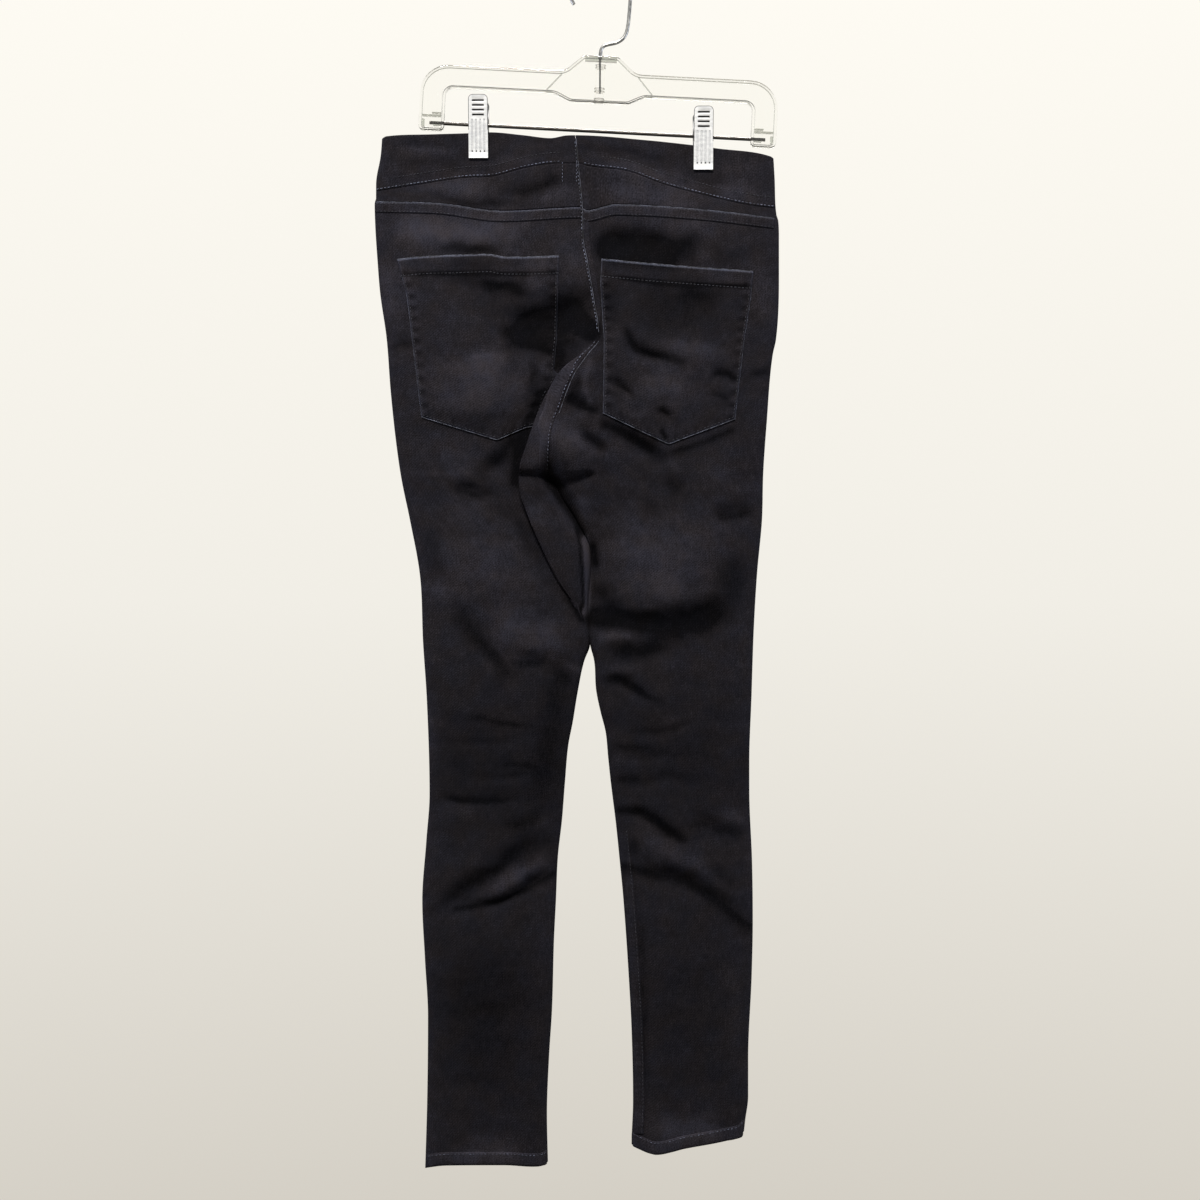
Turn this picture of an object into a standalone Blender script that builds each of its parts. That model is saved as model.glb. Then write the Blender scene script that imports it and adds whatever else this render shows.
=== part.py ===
"""Skinny jeans, seen from the back, hanging flat from a clear hanger with two clips on a steel bar.

Lengths in the tables are millimetres and MM turns them to metres. +X is to the right as the back is seen,
-Y faces the viewer and +Z is up. The origin is where a rail carries the hook, under its crown. A drop is
the distance below that point. Left and right are the wearer's.
"""

import math
from collections import namedtuple

import bmesh
import bpy
import numpy as np
from mathutils import Matrix, Vector

MM = 0.001

# Cloth
WALL = 1.4
BAND_WALL = 2.2
HEM_WALL = 2.4
HEM_HEIGHT = 11.0
HEM_LEDGE = 1.0
POCKET_WALL = 1.2
POCKET_SLAB_END = 460.0
SEAM_GAP = 0.3

# Waist: the hanger tilts, so the sections through the seat slope down to the right.
WAIST_SLOPE = 0.051
CROTCH_DROP = 458.4
CROTCH_ROUND = 30.0
BODY_ROUNDNESS = 3.0
LEG_ROUNDNESS = 2.3

Edge = namedtuple("Edge", "drop x")
Depth = namedtuple("Depth", "drop back front")
Fold = namedtuple("Fold", "drop x height")
Line = namedtuple("Line", "x drop")
Crease = namedtuple("Crease", "x0 drop0 x1 drop1 width height")

OUTSEAM = {
    "left": (
        Edge(150, -193.5), Edge(160, -194.0), Edge(175, -195.2), Edge(200, -199.3), Edge(214, -199.4),
        Edge(217, -200.6), Edge(240, -199.9), Edge(269, -198.0), Edge(298, -195.6), Edge(337, -190.0),
        Edge(386, -186.2), Edge(434, -181.0), Edge(464, -176.5), Edge(499, -169.2), Edge(549, -160.2),
        Edge(608, -157.5), Edge(658, -154.2), Edge(743, -151.7), Edge(785, -154.6), Edge(838, -158.2),
        Edge(890, -155.8), Edge(941, -153.1), Edge(1015, -153.8), Edge(1077, -155.6),
    ),
    "right": (
        Edge(165, 153.6), Edge(180, 154.6), Edge(194, 155.4), Edge(229, 157.3), Edge(232, 158.6),
        Edge(250, 159.3), Edge(281, 159.3), Edge(339, 156.6), Edge(352, 153.8), Edge(414, 148.3),
        Edge(458, 145.3), Edge(499, 144.2), Edge(546, 139.9), Edge(594, 137.0), Edge(658, 134.8),
        Edge(714, 132.9), Edge(739, 132.9), Edge(805, 135.4), Edge(855, 136.0), Edge(905, 135.0),
        Edge(978, 131.9), Edge(1012, 131.9), Edge(1034, 129.2), Edge(1045, 128.0),
    ),
}
INSEAM = {
    "left": (
        Edge(459, -46.5), Edge(482, -35.5), Edge(504, -22.5), Edge(526, -16.9), Edge(547, -14.2),
        Edge(577, -11.4), Edge(591, -10.3), Edge(606, -10.7), Edge(624, -13.8), Edge(651, -19.6),
        Edge(680, -24.4), Edge(699, -28.1), Edge(733, -31.2), Edge(766, -33.8), Edge(798, -37.4),
        Edge(838, -39.2), Edge(872, -40.9), Edge(935, -42.7), Edge(978, -45.4), Edge(1028, -47.2),
        Edge(1072, -46.3),
    ),
    "right": (
        Edge(459, -46.1), Edge(479, -32.9), Edge(496, -20.5), Edge(510, -13.0), Edge(523, -7.6),
        Edge(533, -4.9), Edge(557, -7.1), Edge(574, -8.9), Edge(592, -9.0), Edge(624, -5.3),
        Edge(651, -3.4), Edge(670, 0.5), Edge(688, 5.0), Edge(710, 7.2), Edge(731, 9.4),
        Edge(768, 14.0), Edge(805, 17.8), Edge(833, 20.5), Edge(909, 25.8), Edge(953, 28.1),
        Edge(1015, 29.4), Edge(1050, 28.1),
    ),
}
# The centre back seam folds back on itself below its corner and runs down to the crotch on the flap.
BACK_SEAM = (
    Edge(150, -22.6), Edge(183, -19.6), Edge(221, -16.0), Edge(250, -15.1), Edge(269, -11.6),
    Edge(300, -6.2), Edge(326, -2.0), Edge(336, -1.5), Edge(352, -12.5), Edge(367, -23.1),
    Edge(386, -31.6), Edge(400, -36.5), Edge(417, -43.0), Edge(436, -44.9), Edge(459, -46.3),
)
FRONT_SEAM = (Edge(150, -21.0), Edge(220, -24.0), Edge(330, -32.0), Edge(459, -46.3))

# How far the cloth stands off the middle plane, behind and in front.
DEPTHS = (
    Depth(150, 6.2, 6.2), Depth(175, 6.4, 6.2), Depth(200, 8.0, 7.0), Depth(240, 11.5, 8.5),
    Depth(300, 15.5, 9.5), Depth(360, 17.0, 10.5), Depth(420, 15.5, 10.5), Depth(459, 13.5, 10.0),
    Depth(500, 12.0, 10.0), Depth(580, 12.0, 10.0), Depth(700, 10.8, 9.2), Depth(850, 10.2, 9.0),
    Depth(1000, 9.2, 8.4), Depth(1090, 8.6, 8.2),
)
# The left edge of the flap of spare cloth that lies over the left seat and thigh, and its rise.
FLAP = (
    Fold(330, 3.0, 0.0), Fold(345, -8.0, 1.0), Fold(366, -32.4, 3.0), Fold(388, -46.3, 4.6),
    Fold(409, -55.5, 5.6), Fold(434, -64.1, 6.0), Fold(451, -69.4, 6.0), Fold(467, -70.3, 5.2),
    Fold(495, -62.3, 4.2), Fold(526, -49.0, 3.2), Fold(555, -34.7, 2.2), Fold(590, -14.2, 0.4),
    Fold(600, -12.0, 0.0),
)
FLAP_EDGE_WIDTH = 11.0
FLAP_FADE = 75.0
FLAP_END = 45.0
INSEAM_EASE = 14.0
CREASE_EASE = 1.3

# The largest folds: a height below nought is a trough.
CREASES = {
    "left": (
        Crease(-85, 327, -22, 317, 15, -5.0),
        Crease(-150, 381, -80, 350, 26, 2.6),
        Crease(-72, 463, -44, 464, 8, -4.0),
        Crease(-130, 469, -90, 471, 9, -1.6),
        Crease(-120, 579, -20, 634, 14, -1.8),
        Crease(-40, 812, -124, 843, 9, -2.6),
        Crease(-60, 800, -118, 826, 10, 1.6),
    ),
    "right": (
        Crease(2, 254, 70, 257, 14, -3.2),
        Crease(26, 345, 78, 358, 12, -2.6),
        Crease(6, 418, 48, 436, 10, -2.6),
        Crease(-44, 464, -6, 462, 9, -4.0),
        Crease(0, 594, 122, 600, 16, -2.2),
        Crease(28, 766, 60, 782, 10, -2.0),
        Crease(46, 801, 122, 842, 10, 2.4),
        Crease(44, 822, 110, 856, 9, -1.6),
    ),
}

# Seam lines across the back, by x.
WAIST_TOP = (
    Line(-196, 159.6), Line(-188, 158.4), Line(-117, 156.6), Line(-98, 155.7), Line(-68, 158.4),
    Line(-44, 161.0), Line(-30, 158.6), Line(-22, 158.4), Line(41, 162.9), Line(82, 167.3),
    Line(103, 170.0), Line(156, 177.1),
)
BAND_SEAM = (
    Line(-201, 206.9), Line(-158, 200.0), Line(-120, 194.5), Line(-95, 193.1), Line(-68, 186.0),
    Line(-36, 181.6), Line(-18, 181.6), Line(-13, 183.3), Line(25, 188.7), Line(57, 200.3),
    Line(90, 209.2), Line(131, 218.5), Line(158, 222.0),
)
YOKE_SEAM = (
    Line(-202, 215.4), Line(-142, 217.2), Line(-87, 223.9), Line(-16, 220.7), Line(-13, 223.8),
    Line(14, 218.2), Line(90, 222.5), Line(160, 230.6),
)
FRONT_BAND_SEAM = (Line(-201, 206.9), Line(-22, 217.0), Line(158, 222.0))
HEM = {
    "left": (
        Line(-156, 1076.0), Line(-137, 1073.9), Line(-85, 1073.6), Line(-60, 1074.9), Line(-52, 1074.2),
        Line(-46, 1070.0),
    ),
    "right": (
        Line(28, 1054.7), Line(40, 1060.9), Line(50, 1064.4), Line(75, 1059.1), Line(112, 1052.0),
        Line(124, 1048.4), Line(129, 1042.0),
    ),
}

# Patch pockets: corners from the top by the outseam round to the top by the centre seam.
POCKETS = {
    "left": (
        Line(-180.7, 267.9), Line(-171.8, 300.0), Line(-158.7, 407.6), Line(-91.7, 428.1),
        Line(-62.5, 415.0), Line(-54.0, 390.0), Line(-41.5, 372.0), Line(-38.3, 340.0), Line(-36.8, 265.2),
    ),
    "right": (
        Line(136.7, 277.4), Line(134.0, 302.6), Line(128.2, 339.1), Line(120.2, 409.4), Line(61.1, 431.7),
        Line(2.7, 404.1), Line(3.6, 339.1), Line(0.5, 289.3), Line(1.4, 267.9),
    ),
}

# Where the clips press the waist flat, and how far from them the cloth opens again.
PINCH = 3.0
PINCH_BOTTOM = 188.0
PINCH_HALF_WIDTH = 13.0
PINCH_FADE = 40.0

# Hanger: drawn level about the middle of its boss, then tilted with its bar.
HANGER_CENTRE = Vector((0.0, 0.0, -107.7))
HANGER_TILT = math.radians(2.95)
FRAME_THICKNESS = 7.0
FRAME_RIM = 2.4
FRAME_RECESS = 1.1
BAR_BELOW_CENTRE = 45.9
BAR_RADIUS = 1.5
BAR_SEAT = 13.0
FRAME_HALF_WIDTH = 159.0
FRAME_BLOCK = 22.5
FRAME_BOTTOM = -52.4
RUNNING_GAP = 0.3
Corner = namedtuple("Corner", "x z radius")
FRAME_HALF = (
    Corner(15.6, 20.5, 4.0), Corner(32.0, 5.7, 9.0), Corner(FRAME_HALF_WIDTH, 5.7, 21.0),
    Corner(FRAME_HALF_WIDTH, FRAME_BOTTOM, 2.5),
    Corner(FRAME_HALF_WIDTH - FRAME_BLOCK, FRAME_BOTTOM, 2.5),
    Corner(FRAME_HALF_WIDTH - FRAME_BLOCK, -13.8, 4.0), Corner(40.0, -13.8, 6.0), Corner(26.0, -20.5, 6.0),
)
ARC_STEPS = 4

# Hook: a bent wire whose crown is a half circle and whose shank sits in the boss.
HOOK_RADIUS = 1.6
CROWN_RADIUS = 25.8
HOOK_TIP_ANGLE = math.radians(212)
HOOK_SHANK = (
    Line(0.0, 120.0), Line(0.0, 92.0), Line(0.6, 83.5), Line(3.4, 77.2), Line(10.0, 73.6), Line(18.6, 67.2),
    Line(24.6, 55.0), Line(27.2, 40.0),
)
HOOK_SEAT = 121.5
SOCKET_OVERRUN = 30.0
CROWN_STEPS = 13

# Clips: two sprung plates astride the bar.
CLIPS = {"left": -107.9, "right": 91.7}
CLIP_WIDTH = 18.2
CLIP_ABOVE = 29.0
CLIP_BELOW = 30.2
CLIP_SHEET = 0.9
CLIP_TOP_RADIUS = 4.0
CLIP_FOOT_RADIUS = 0.8
CLIP_OPEN_TOP = 11.5
SLOTS = 4
SLOT_SIZE = (9.4, 6.0, 1.5)
SLOT_PITCH = 3.7
SLOT_FROM_TOP = 5.5
CHEEK_HALF_HEIGHT = 6.0
CHEEK_THICKNESS = 0.9
CHEEK_INSET = 0.05
PIVOT_OVERRUN = 3.0
SPRING_RADIUS = 3.3
SPRING_HALF_LENGTH = 6.0

# Turns an upright rod to lie along X.
LYING = Matrix.Rotation(math.pi / 2, 4, "Y")

# Grid sizes
BACK_COLUMNS = 14
FRONT_COLUMNS = 10
SEAT_STEP = 17.0
CROTCH_STEP = 9.0
LEG_STEP = 24.0
FRONT_STEP = 30.0
BAND_ROWS = 4
SETTLING_STEPS = 4
ROD_SIDES = 16
SPRING_STEPS = 14
CUTTER_DEPTH = 60.0
SHARP_ANGLE = math.radians(40)
ROUNDING = 0.01


def smooth(rows, column, at):
    """Reads one column of a table at a place along its first column, on a curve that never overshoots."""
    xs = np.array([row[0] for row in rows], float)
    ys = np.array([getattr(row, column) for row in rows], float)
    slopes = np.diff(ys) / np.diff(xs)
    tangents = np.concatenate(([slopes[0]], (slopes[1:] + slopes[:-1]) / 2, [slopes[-1]]))
    for i, slope in enumerate(slopes):
        for end in (i, i + 1):
            flat = tangents[end] * slope <= 0
            limit = 3 * abs(slope)
            tangents[end] = 0.0 if flat else math.copysign(min(abs(tangents[end]), limit), slope)
    at = min(max(at, xs[0]), xs[-1])
    i = min(int(np.searchsorted(xs, at, side="right")) - 1, len(slopes) - 1)
    span = xs[i + 1] - xs[i]
    t = (at - xs[i]) / span
    start = (1 + 2 * t) * (1 - t) ** 2 * ys[i] + t * (1 - t) ** 2 * span * tangents[i]
    return start + t * t * (3 - 2 * t) * ys[i + 1] + t * t * (t - 1) * span * tangents[i + 1]


def ease(value):
    """Goes from 0 to 1 as the value does, level at both ends."""
    value = min(max(value, 0.0), 1.0)
    return value * value * (3 - 2 * value)


def rounded(across, roundness):
    """The bulge of a flattened tube, 0 at both edges and 1 along the middle."""
    return max(0.0, 1 - abs(2 * across - 1) ** roundness) ** (1 / roundness)


def leg_blend(drop):
    """0 where both legs share one seat, 1 from the crotch down, and round in between."""
    part = min(max((drop - CROTCH_DROP + CROTCH_ROUND) / CROTCH_ROUND, 0.0), 1.0)
    return 1 - math.sqrt(1 - part * part)


def pinch_at(x, below):
    """How strongly the clips press the waist together at a place, from 0 to 1."""
    down = 1 - ease((below - PINCH_BOTTOM) / PINCH_FADE)
    nearest = min(abs(x - clip_x) for clip_x in CLIPS.values())
    return down * (1 - ease((nearest - PINCH_HALF_WIDTH) / PINCH_FADE))


def inner_edge(side, face, drop):
    """Where a panel ends on the inside: the centre seam, then the inseam."""
    sign = 1 if side == "right" else -1
    if drop < CROTCH_DROP:
        seam = BACK_SEAM if face == "back" else FRONT_SEAM
        return smooth(seam, "x", drop) + sign * SEAM_GAP / 2
    return smooth(INSEAM[side], "x", drop)


def flap_rise(side, x, drop):
    """How far the flap lifts the back at a place."""
    if not FLAP[0].drop < drop < FLAP[-1].drop:
        return 0.0
    height = smooth(FLAP, "height", drop)
    inseam = abs(x - inner_edge(side, "back", drop))
    blend = leg_blend(drop)
    edge = 1 - blend + blend * ease(inseam / INSEAM_EASE)
    if side == "left":
        past = (x - smooth(FLAP, "x", drop)) / FLAP_EDGE_WIDTH
        return height * edge * ease(past + 0.5)
    ending = 1 - ease((drop - CROTCH_DROP) / FLAP_END)
    return height * edge * ending * (1 - ease(inseam / FLAP_FADE))


def crease_rise(side, x, drop):
    """The sum of the large folds' heights at a place, each a soft bank along a straight line."""
    total = 0.0
    for crease in CREASES[side]:
        along = Vector((crease.x1 - crease.x0, crease.drop1 - crease.drop0))
        place = Vector((x - crease.x0, drop - crease.drop0))
        part = min(max(place.dot(along) / along.length_squared, 0.0), 1.0)
        distance = (place - along * part).length
        total += crease.height * math.exp(-((distance / crease.width) ** 2))
    return total


def stand_off(side, face, x, drop, inset=0.0):
    """How far the cloth stands off the middle plane; an inset gives the inside of a wall that thick."""
    below = drop - WAIST_SLOPE * x if drop < CROTCH_DROP else drop
    full = smooth(DEPTHS, face, below)
    full += (PINCH - full) * pinch_at(x, below)
    reach = full - inset
    left = smooth(OUTSEAM["left"], "x", drop) + inset
    right = smooth(OUTSEAM["right"], "x", drop) - inset
    body = rounded((x - left) / (right - left), BODY_ROUNDNESS)
    blend = leg_blend(drop)
    outer = left if side == "left" else right
    inner = inner_edge(side, face, drop) + (inset * blend if side == "right" else -inset * blend)
    leg = rounded((x - outer) / (inner - outer), LEG_ROUNDNESS)
    depth = reach * ((1 - blend) * body + blend * leg)
    if face == "back":
        edge = leg if blend > 0 else body
        depth += flap_rise(side, x, drop) + crease_rise(side, x, drop) * min(1.0, CREASE_EASE * edge)
    return max(depth, 0.0)


def cloth_point(side, face, x, drop, inset=0.0):
    """A point on a panel's outer or inner face."""
    sign = -1 if face == "back" else 1
    depth = stand_off(side, face, x, drop, inset)
    return Vector((x, sign * (SEAM_GAP / 2 + depth), -drop)) * MM


def spread(count):
    """Places across a panel, close together at its curved edges."""
    return [(1 - math.cos(math.pi * i / (count - 1))) / 2 for i in range(count)]


def panel_grid(side, face, top, bottom, rows, columns, wall):
    """Two layers of points, the panel's outside and its inside, from its top line to its bottom line."""
    layers = []
    for inside in (False, True):
        layer = []
        for down in rows:
            row = []
            for across in spread(columns):
                drop = 0.0
                x = smooth(OUTSEAM[side], "x", top[0].drop)
                for _ in range(SETTLING_STEPS):
                    start = smooth(top, "drop", x)
                    end = smooth(bottom, "drop", x)
                    drop = start + down * (end - start)
                    thick = wall(end - drop) if inside else 0.0
                    inward = 1 if side == "left" else -1
                    outer = smooth(OUTSEAM[side], "x", drop) + inward * thick
                    inner = inner_edge(side, face, drop) - inward * thick * leg_blend(drop)
                    x = outer + across * (inner - outer)
                row.append(cloth_point(side, face, x, drop, thick))
            layer.append(row)
        layers.append(layer)
    return layers


def material(name, colour, roughness, metallic=0.0, alpha=1.0):
    """One plain finish."""
    made = bpy.data.materials.new(name)
    made.use_nodes = True
    shader = made.node_tree.nodes["Principled BSDF"]
    shader.inputs["Base Color"].default_value = (*colour, 1.0)
    shader.inputs["Roughness"].default_value = roughness
    shader.inputs["Metallic"].default_value = metallic
    shader.inputs["Alpha"].default_value = alpha
    return made


def mesh_from(name, shape):
    """Turns a bmesh into a mesh."""
    mesh = bpy.data.meshes.new(name)
    shape.to_mesh(mesh)
    shape.free()
    return mesh


def add_object(name, shape, finish):
    """Turns a bmesh into a named object of the part."""
    mesh = mesh_from(name, shape)
    mesh.shade_smooth()
    mesh.set_sharp_from_angle(angle=SHARP_ANGLE)
    mesh.materials.append(finish)
    made = bpy.data.objects.new(name, mesh)
    PART.objects.link(made)
    return made


def add_cutter(name, shape):
    """Turns a bmesh into a cutting shape, which stays out of the model."""
    cutter = bpy.data.objects.new(name, mesh_from(name, shape))
    CUTTERS.objects.link(cutter)
    cutter.hide_render = True
    cutter.display_type = "WIRE"
    return cutter


def extruded(points, by):
    """A closed block with one flat end through the given points."""
    shape = bmesh.new()
    face = shape.faces.new([shape.verts.new(point) for point in points])
    grown = bmesh.ops.extrude_face_region(shape, geom=[face])["geom"]
    moved = [item for item in grown if isinstance(item, bmesh.types.BMVert)]
    bmesh.ops.translate(shape, verts=moved, vec=by)
    bmesh.ops.recalc_face_normals(shape, faces=shape.faces)
    return shape


def cut(target, cutter, operation="DIFFERENCE"):
    """Adds a Boolean that takes the cutter from the target, or keeps what they share."""
    boolean = target.modifiers.new(f"{operation.title()} {cutter.name}", "BOOLEAN")
    boolean.operation = operation
    boolean.solver = "EXACT"
    boolean.object = cutter


def closed_wall(name, layers, finish):
    """Joins two layers of points round their borders into one closed wall.

    Every cell is split the same way, so that what is made from a panel's points lies evenly on it.
    """
    shape = bmesh.new()
    grids = [[[shape.verts.new(point) for point in row] for row in layer] for layer in layers]
    outside, inside = grids
    rows, columns = len(outside), len(outside[0])
    for r in range(rows - 1):
        for c in range(columns - 1):
            for grid, order in ((outside, 1), (inside, -1)):
                start, end = grid[r][c], grid[r + 1][c + 1]
                shape.faces.new((start, grid[r + 1][c], end)[::order])
                shape.faces.new((start, end, grid[r][c + 1])[::order])
    border = [(0, c) for c in range(columns)] + [(r, columns - 1) for r in range(1, rows)]
    border += [(rows - 1, c) for c in range(columns - 2, -1, -1)] + [(r, 0) for r in range(rows - 2, 0, -1)]
    for here, there in zip(border, border[1:] + border[:1]):
        a, b = outside[here[0]][here[1]], outside[there[0]][there[1]]
        c, d = inside[there[0]][there[1]], inside[here[0]][here[1]]
        shape.faces.new((a, b, c, d))
    bmesh.ops.recalc_face_normals(shape, faces=shape.faces)
    if shape.calc_volume(signed=True) < 0:
        bmesh.ops.reverse_faces(shape, faces=shape.faces)
    return add_object(name, shape, finish)


def steps_between(start, end, step):
    """Evenly spaced drops from start up to but not including end."""
    count = max(1, round((end - start) / step))
    return [start + (end - start) * i / count for i in range(count)]


def leg_rows(side, face, start, end):
    """How far down a panel each of its sections lies, from 0 at its top to 1 at its hem."""
    rounding = CROTCH_DROP - CROTCH_ROUND
    hem = end - HEM_HEIGHT
    if face == "back":
        drops = steps_between(start, rounding, SEAT_STEP)
        drops += steps_between(rounding, CROTCH_DROP + CROTCH_ROUND, CROTCH_STEP)
        drops += steps_between(CROTCH_DROP + CROTCH_ROUND, hem - HEM_LEDGE, LEG_STEP)
    else:
        drops = steps_between(start, rounding, FRONT_STEP)
        drops += steps_between(rounding, CROTCH_DROP, CROTCH_STEP)
        drops += steps_between(CROTCH_DROP, hem - HEM_LEDGE, FRONT_STEP)
    drops += [hem - HEM_LEDGE, hem, end]
    return [(drop - start) / (end - start) for drop in drops]


def lowered(line, gap=SEAM_GAP):
    """The same line a seam's gap further down."""
    return tuple(Line(point.x, point.drop + gap) for point in line)


def leg_wall(above_hem):
    """The wall is doubled where the hem is turned up."""
    return HEM_WALL if above_hem <= HEM_HEIGHT + ROUNDING else WALL


def make_panels(denim):
    """The four long panels, each a seat or front with its leg; gives back the layers of the back ones."""
    layers = {}
    for side in ("left", "right"):
        for face, columns in (("back", BACK_COLUMNS), ("front", FRONT_COLUMNS)):
            top = lowered(YOKE_SEAM if face == "back" else FRONT_BAND_SEAM)
            seam_x = inner_edge(side, face, top[0].drop)
            start = smooth(top, "drop", seam_x)
            end = smooth(HEM[side], "drop", inner_edge(side, face, HEM[side][0].drop))
            rows = leg_rows(side, face, start, end)
            grid = panel_grid(side, face, top, HEM[side], rows, columns, leg_wall)
            closed_wall(f"{face}_leg_{side}", grid, denim)
            layers[side, face] = grid
    return layers


def make_upper(denim):
    """The back yokes and the waistband."""
    rows = [i / (BAND_ROWS - 1) for i in range(BAND_ROWS)]
    halves = {}
    for side in ("left", "right"):
        grid = panel_grid(side, "back", WAIST_TOP, BAND_SEAM, rows, BACK_COLUMNS, lambda _: BAND_WALL)
        closed_wall(f"back_waistband_{side}", grid, denim)
        grid = panel_grid(side, "back", lowered(BAND_SEAM), YOKE_SEAM, rows, BACK_COLUMNS, lambda _: WALL)
        closed_wall(f"back_yoke_{side}", grid, denim)
        halves[side] = panel_grid(
            side, "front", WAIST_TOP, FRONT_BAND_SEAM, rows, FRONT_COLUMNS, lambda _: BAND_WALL
        )
    whole = [
        [left[:-1] + right[-2::-1] for left, right in zip(halves["left"][k], halves["right"][k])]
        for k in range(2)
    ]
    closed_wall("front_waistband", whole, denim)


def pocket_prism(name, outline):
    """A prism through the back's cloth, from an outline seen from behind."""
    points = [(p.x * MM, -CUTTER_DEPTH * MM, -p.drop * MM) for p in outline]
    return add_cutter(name, extruded(points, (0, CUTTER_DEPTH * MM, 0)))


def make_pockets(layers, denim):
    """Each pocket is a stretch of its panel moved out, trimmed to five sides."""
    for side, outline in POCKETS.items():
        outside = layers[side, "back"][0]
        last = max(i for i, row in enumerate(outside) if -row[0].z / MM < POCKET_SLAB_END)
        region = [row[1:] for row in outside[: last + 1]]
        under = [[point + Vector((0, -SEAM_GAP, 0)) * MM for point in row] for row in region]
        over = [[point + Vector((0, -SEAM_GAP - POCKET_WALL, 0)) * MM for point in row] for row in region]
        pocket = closed_wall(f"back_pocket_{side}", [over, under], denim)
        cut(pocket, pocket_prism(f"pocket outline {side}", outline), "INTERSECT")


def arc_corners(corners):
    """Replaces each corner of a closed outline by an arc of its radius."""
    points = []
    for before, corner, after in zip(corners[-1:] + corners[:-1], corners, corners[1:] + corners[:1]):
        here = Vector((corner.x, corner.z))
        back = (Vector((before.x, before.z)) - here).normalized()
        ahead = (Vector((after.x, after.z)) - here).normalized()
        half = back.angle(ahead) / 2
        reach = corner.radius / math.tan(half)
        centre = here + (back + ahead).normalized() * corner.radius / math.sin(half)
        first = here + back * reach - centre
        turn = first.angle_signed(here + ahead * reach - centre)
        for i in range(ARC_STEPS + 1):
            spoke = first.copy()
            spoke.rotate(Matrix.Rotation(-turn * i / ARC_STEPS, 2))
            points.append(centre + spoke)
    return points


def clip_centre(side):
    """Where the tilted bar passes through a clip."""
    along = CLIPS[side] + BAR_BELOW_CENTRE * math.sin(HANGER_TILT)
    z = HANGER_CENTRE.z - along * math.tan(HANGER_TILT) - BAR_BELOW_CENTRE * math.cos(HANGER_TILT)
    return Vector((CLIPS[side], 0.0, z))


def hanger_frame_matrix():
    """Places what is drawn level about the boss."""
    return Matrix.Translation(HANGER_CENTRE * MM) @ Matrix.Rotation(HANGER_TILT, 4, "Y")


def make_frame(clear):
    """A recessed plate in the shape of a wide arch, with a boss for the hook and blocks for the bar."""
    left_half = [Corner(-c.x, c.z, c.radius) for c in reversed(FRAME_HALF)]
    outline = arc_corners(list(FRAME_HALF) + left_half)
    points = [(p.x * MM, -FRAME_THICKNESS / 2 * MM, p.y * MM) for p in outline]
    shape = extruded(points, (0, FRAME_THICKNESS * MM, 0))
    flats = [f for f in shape.faces if abs(f.normal.y) > 0.9]
    bmesh.ops.inset_region(
        shape, faces=flats, thickness=FRAME_RIM * MM, depth=-FRAME_RECESS * MM, use_even_offset=True
    )
    frame = add_object("hanger_frame", shape, clear)
    frame.matrix_world = hanger_frame_matrix()
    bar_length = 2 * (FRAME_HALF_WIDTH - FRAME_BLOCK + BAR_SEAT + RUNNING_GAP)
    place = hanger_frame_matrix() @ Matrix.Translation((0, 0, -BAR_BELOW_CENTRE * MM))
    cut(frame, add_cutter("bar socket", rod(BAR_RADIUS + RUNNING_GAP, bar_length, place @ LYING)))
    top = HANGER_CENTRE.z + SOCKET_OVERRUN
    middle = Matrix.Translation((0, 0, (top - HOOK_SEAT) / 2 * MM))
    cut(frame, add_cutter("hook socket", rod(HOOK_RADIUS + RUNNING_GAP, top + HOOK_SEAT, middle)))


def rod(radius, length, place):
    """A plain round rod about the Z axis of its place."""
    shape = bmesh.new()
    bmesh.ops.create_cone(
        shape, cap_ends=True, segments=ROD_SIDES, radius1=radius * MM, radius2=radius * MM,
        depth=length * MM, matrix=place,
    )
    return shape


def make_bar(steel):
    """The straight rod that carries the clips."""
    length = 2 * (FRAME_HALF_WIDTH - FRAME_BLOCK + BAR_SEAT)
    bar = add_object("hanger_bar", rod(BAR_RADIUS, length, LYING), steel)
    bar.matrix_world = hanger_frame_matrix() @ Matrix.Translation((0, 0, -BAR_BELOW_CENTRE * MM))


def curved(points, between):
    """More points on a smooth curve through the given ones."""
    ends = [points[0] * 2 - points[1]] + points + [points[-1] * 2 - points[-2]]
    made = []
    for a, b, c, d in zip(ends, ends[1:], ends[2:], ends[3:]):
        for i in range(between):
            t = i / between
            made.append(
                (b * 2 + (c - a) * t + (a * 2 - b * 5 + c * 4 - d) * t * t
                 + (b * 3 - a - c * 3 + d) * t ** 3) / 2
            )
    return made + [points[-1]]


def make_hook(wire):
    """The bent wire: straight in the boss, an offset neck, then a half circle over the rail."""
    centre_radius = CROWN_RADIUS + HOOK_RADIUS
    neck = [Vector((p.x, 0, -p.drop)) for p in HOOK_SHANK]
    crown = [
        Vector((centre_radius * math.cos(angle), 0, centre_radius * math.sin(angle) - CROWN_RADIUS))
        for angle in (HOOK_TIP_ANGLE * i / CROWN_STEPS for i in range(CROWN_STEPS + 1))
    ]
    path = curved(neck + [crown[0]], 2)[:-1] + crown
    curve = bpy.data.curves.new("hanger_hook", "CURVE")
    curve.dimensions = "3D"
    curve.bevel_depth = HOOK_RADIUS * MM
    curve.bevel_resolution = 3
    curve.use_fill_caps = True
    spline = curve.splines.new("POLY")
    spline.points.add(len(path) - 1)
    for point, place in zip(spline.points, path):
        point.co = (*(place * MM), 1.0)
    hook = bpy.data.objects.new("hanger_hook", curve)
    curve.materials.append(wire)
    PART.objects.link(hook)


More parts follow.
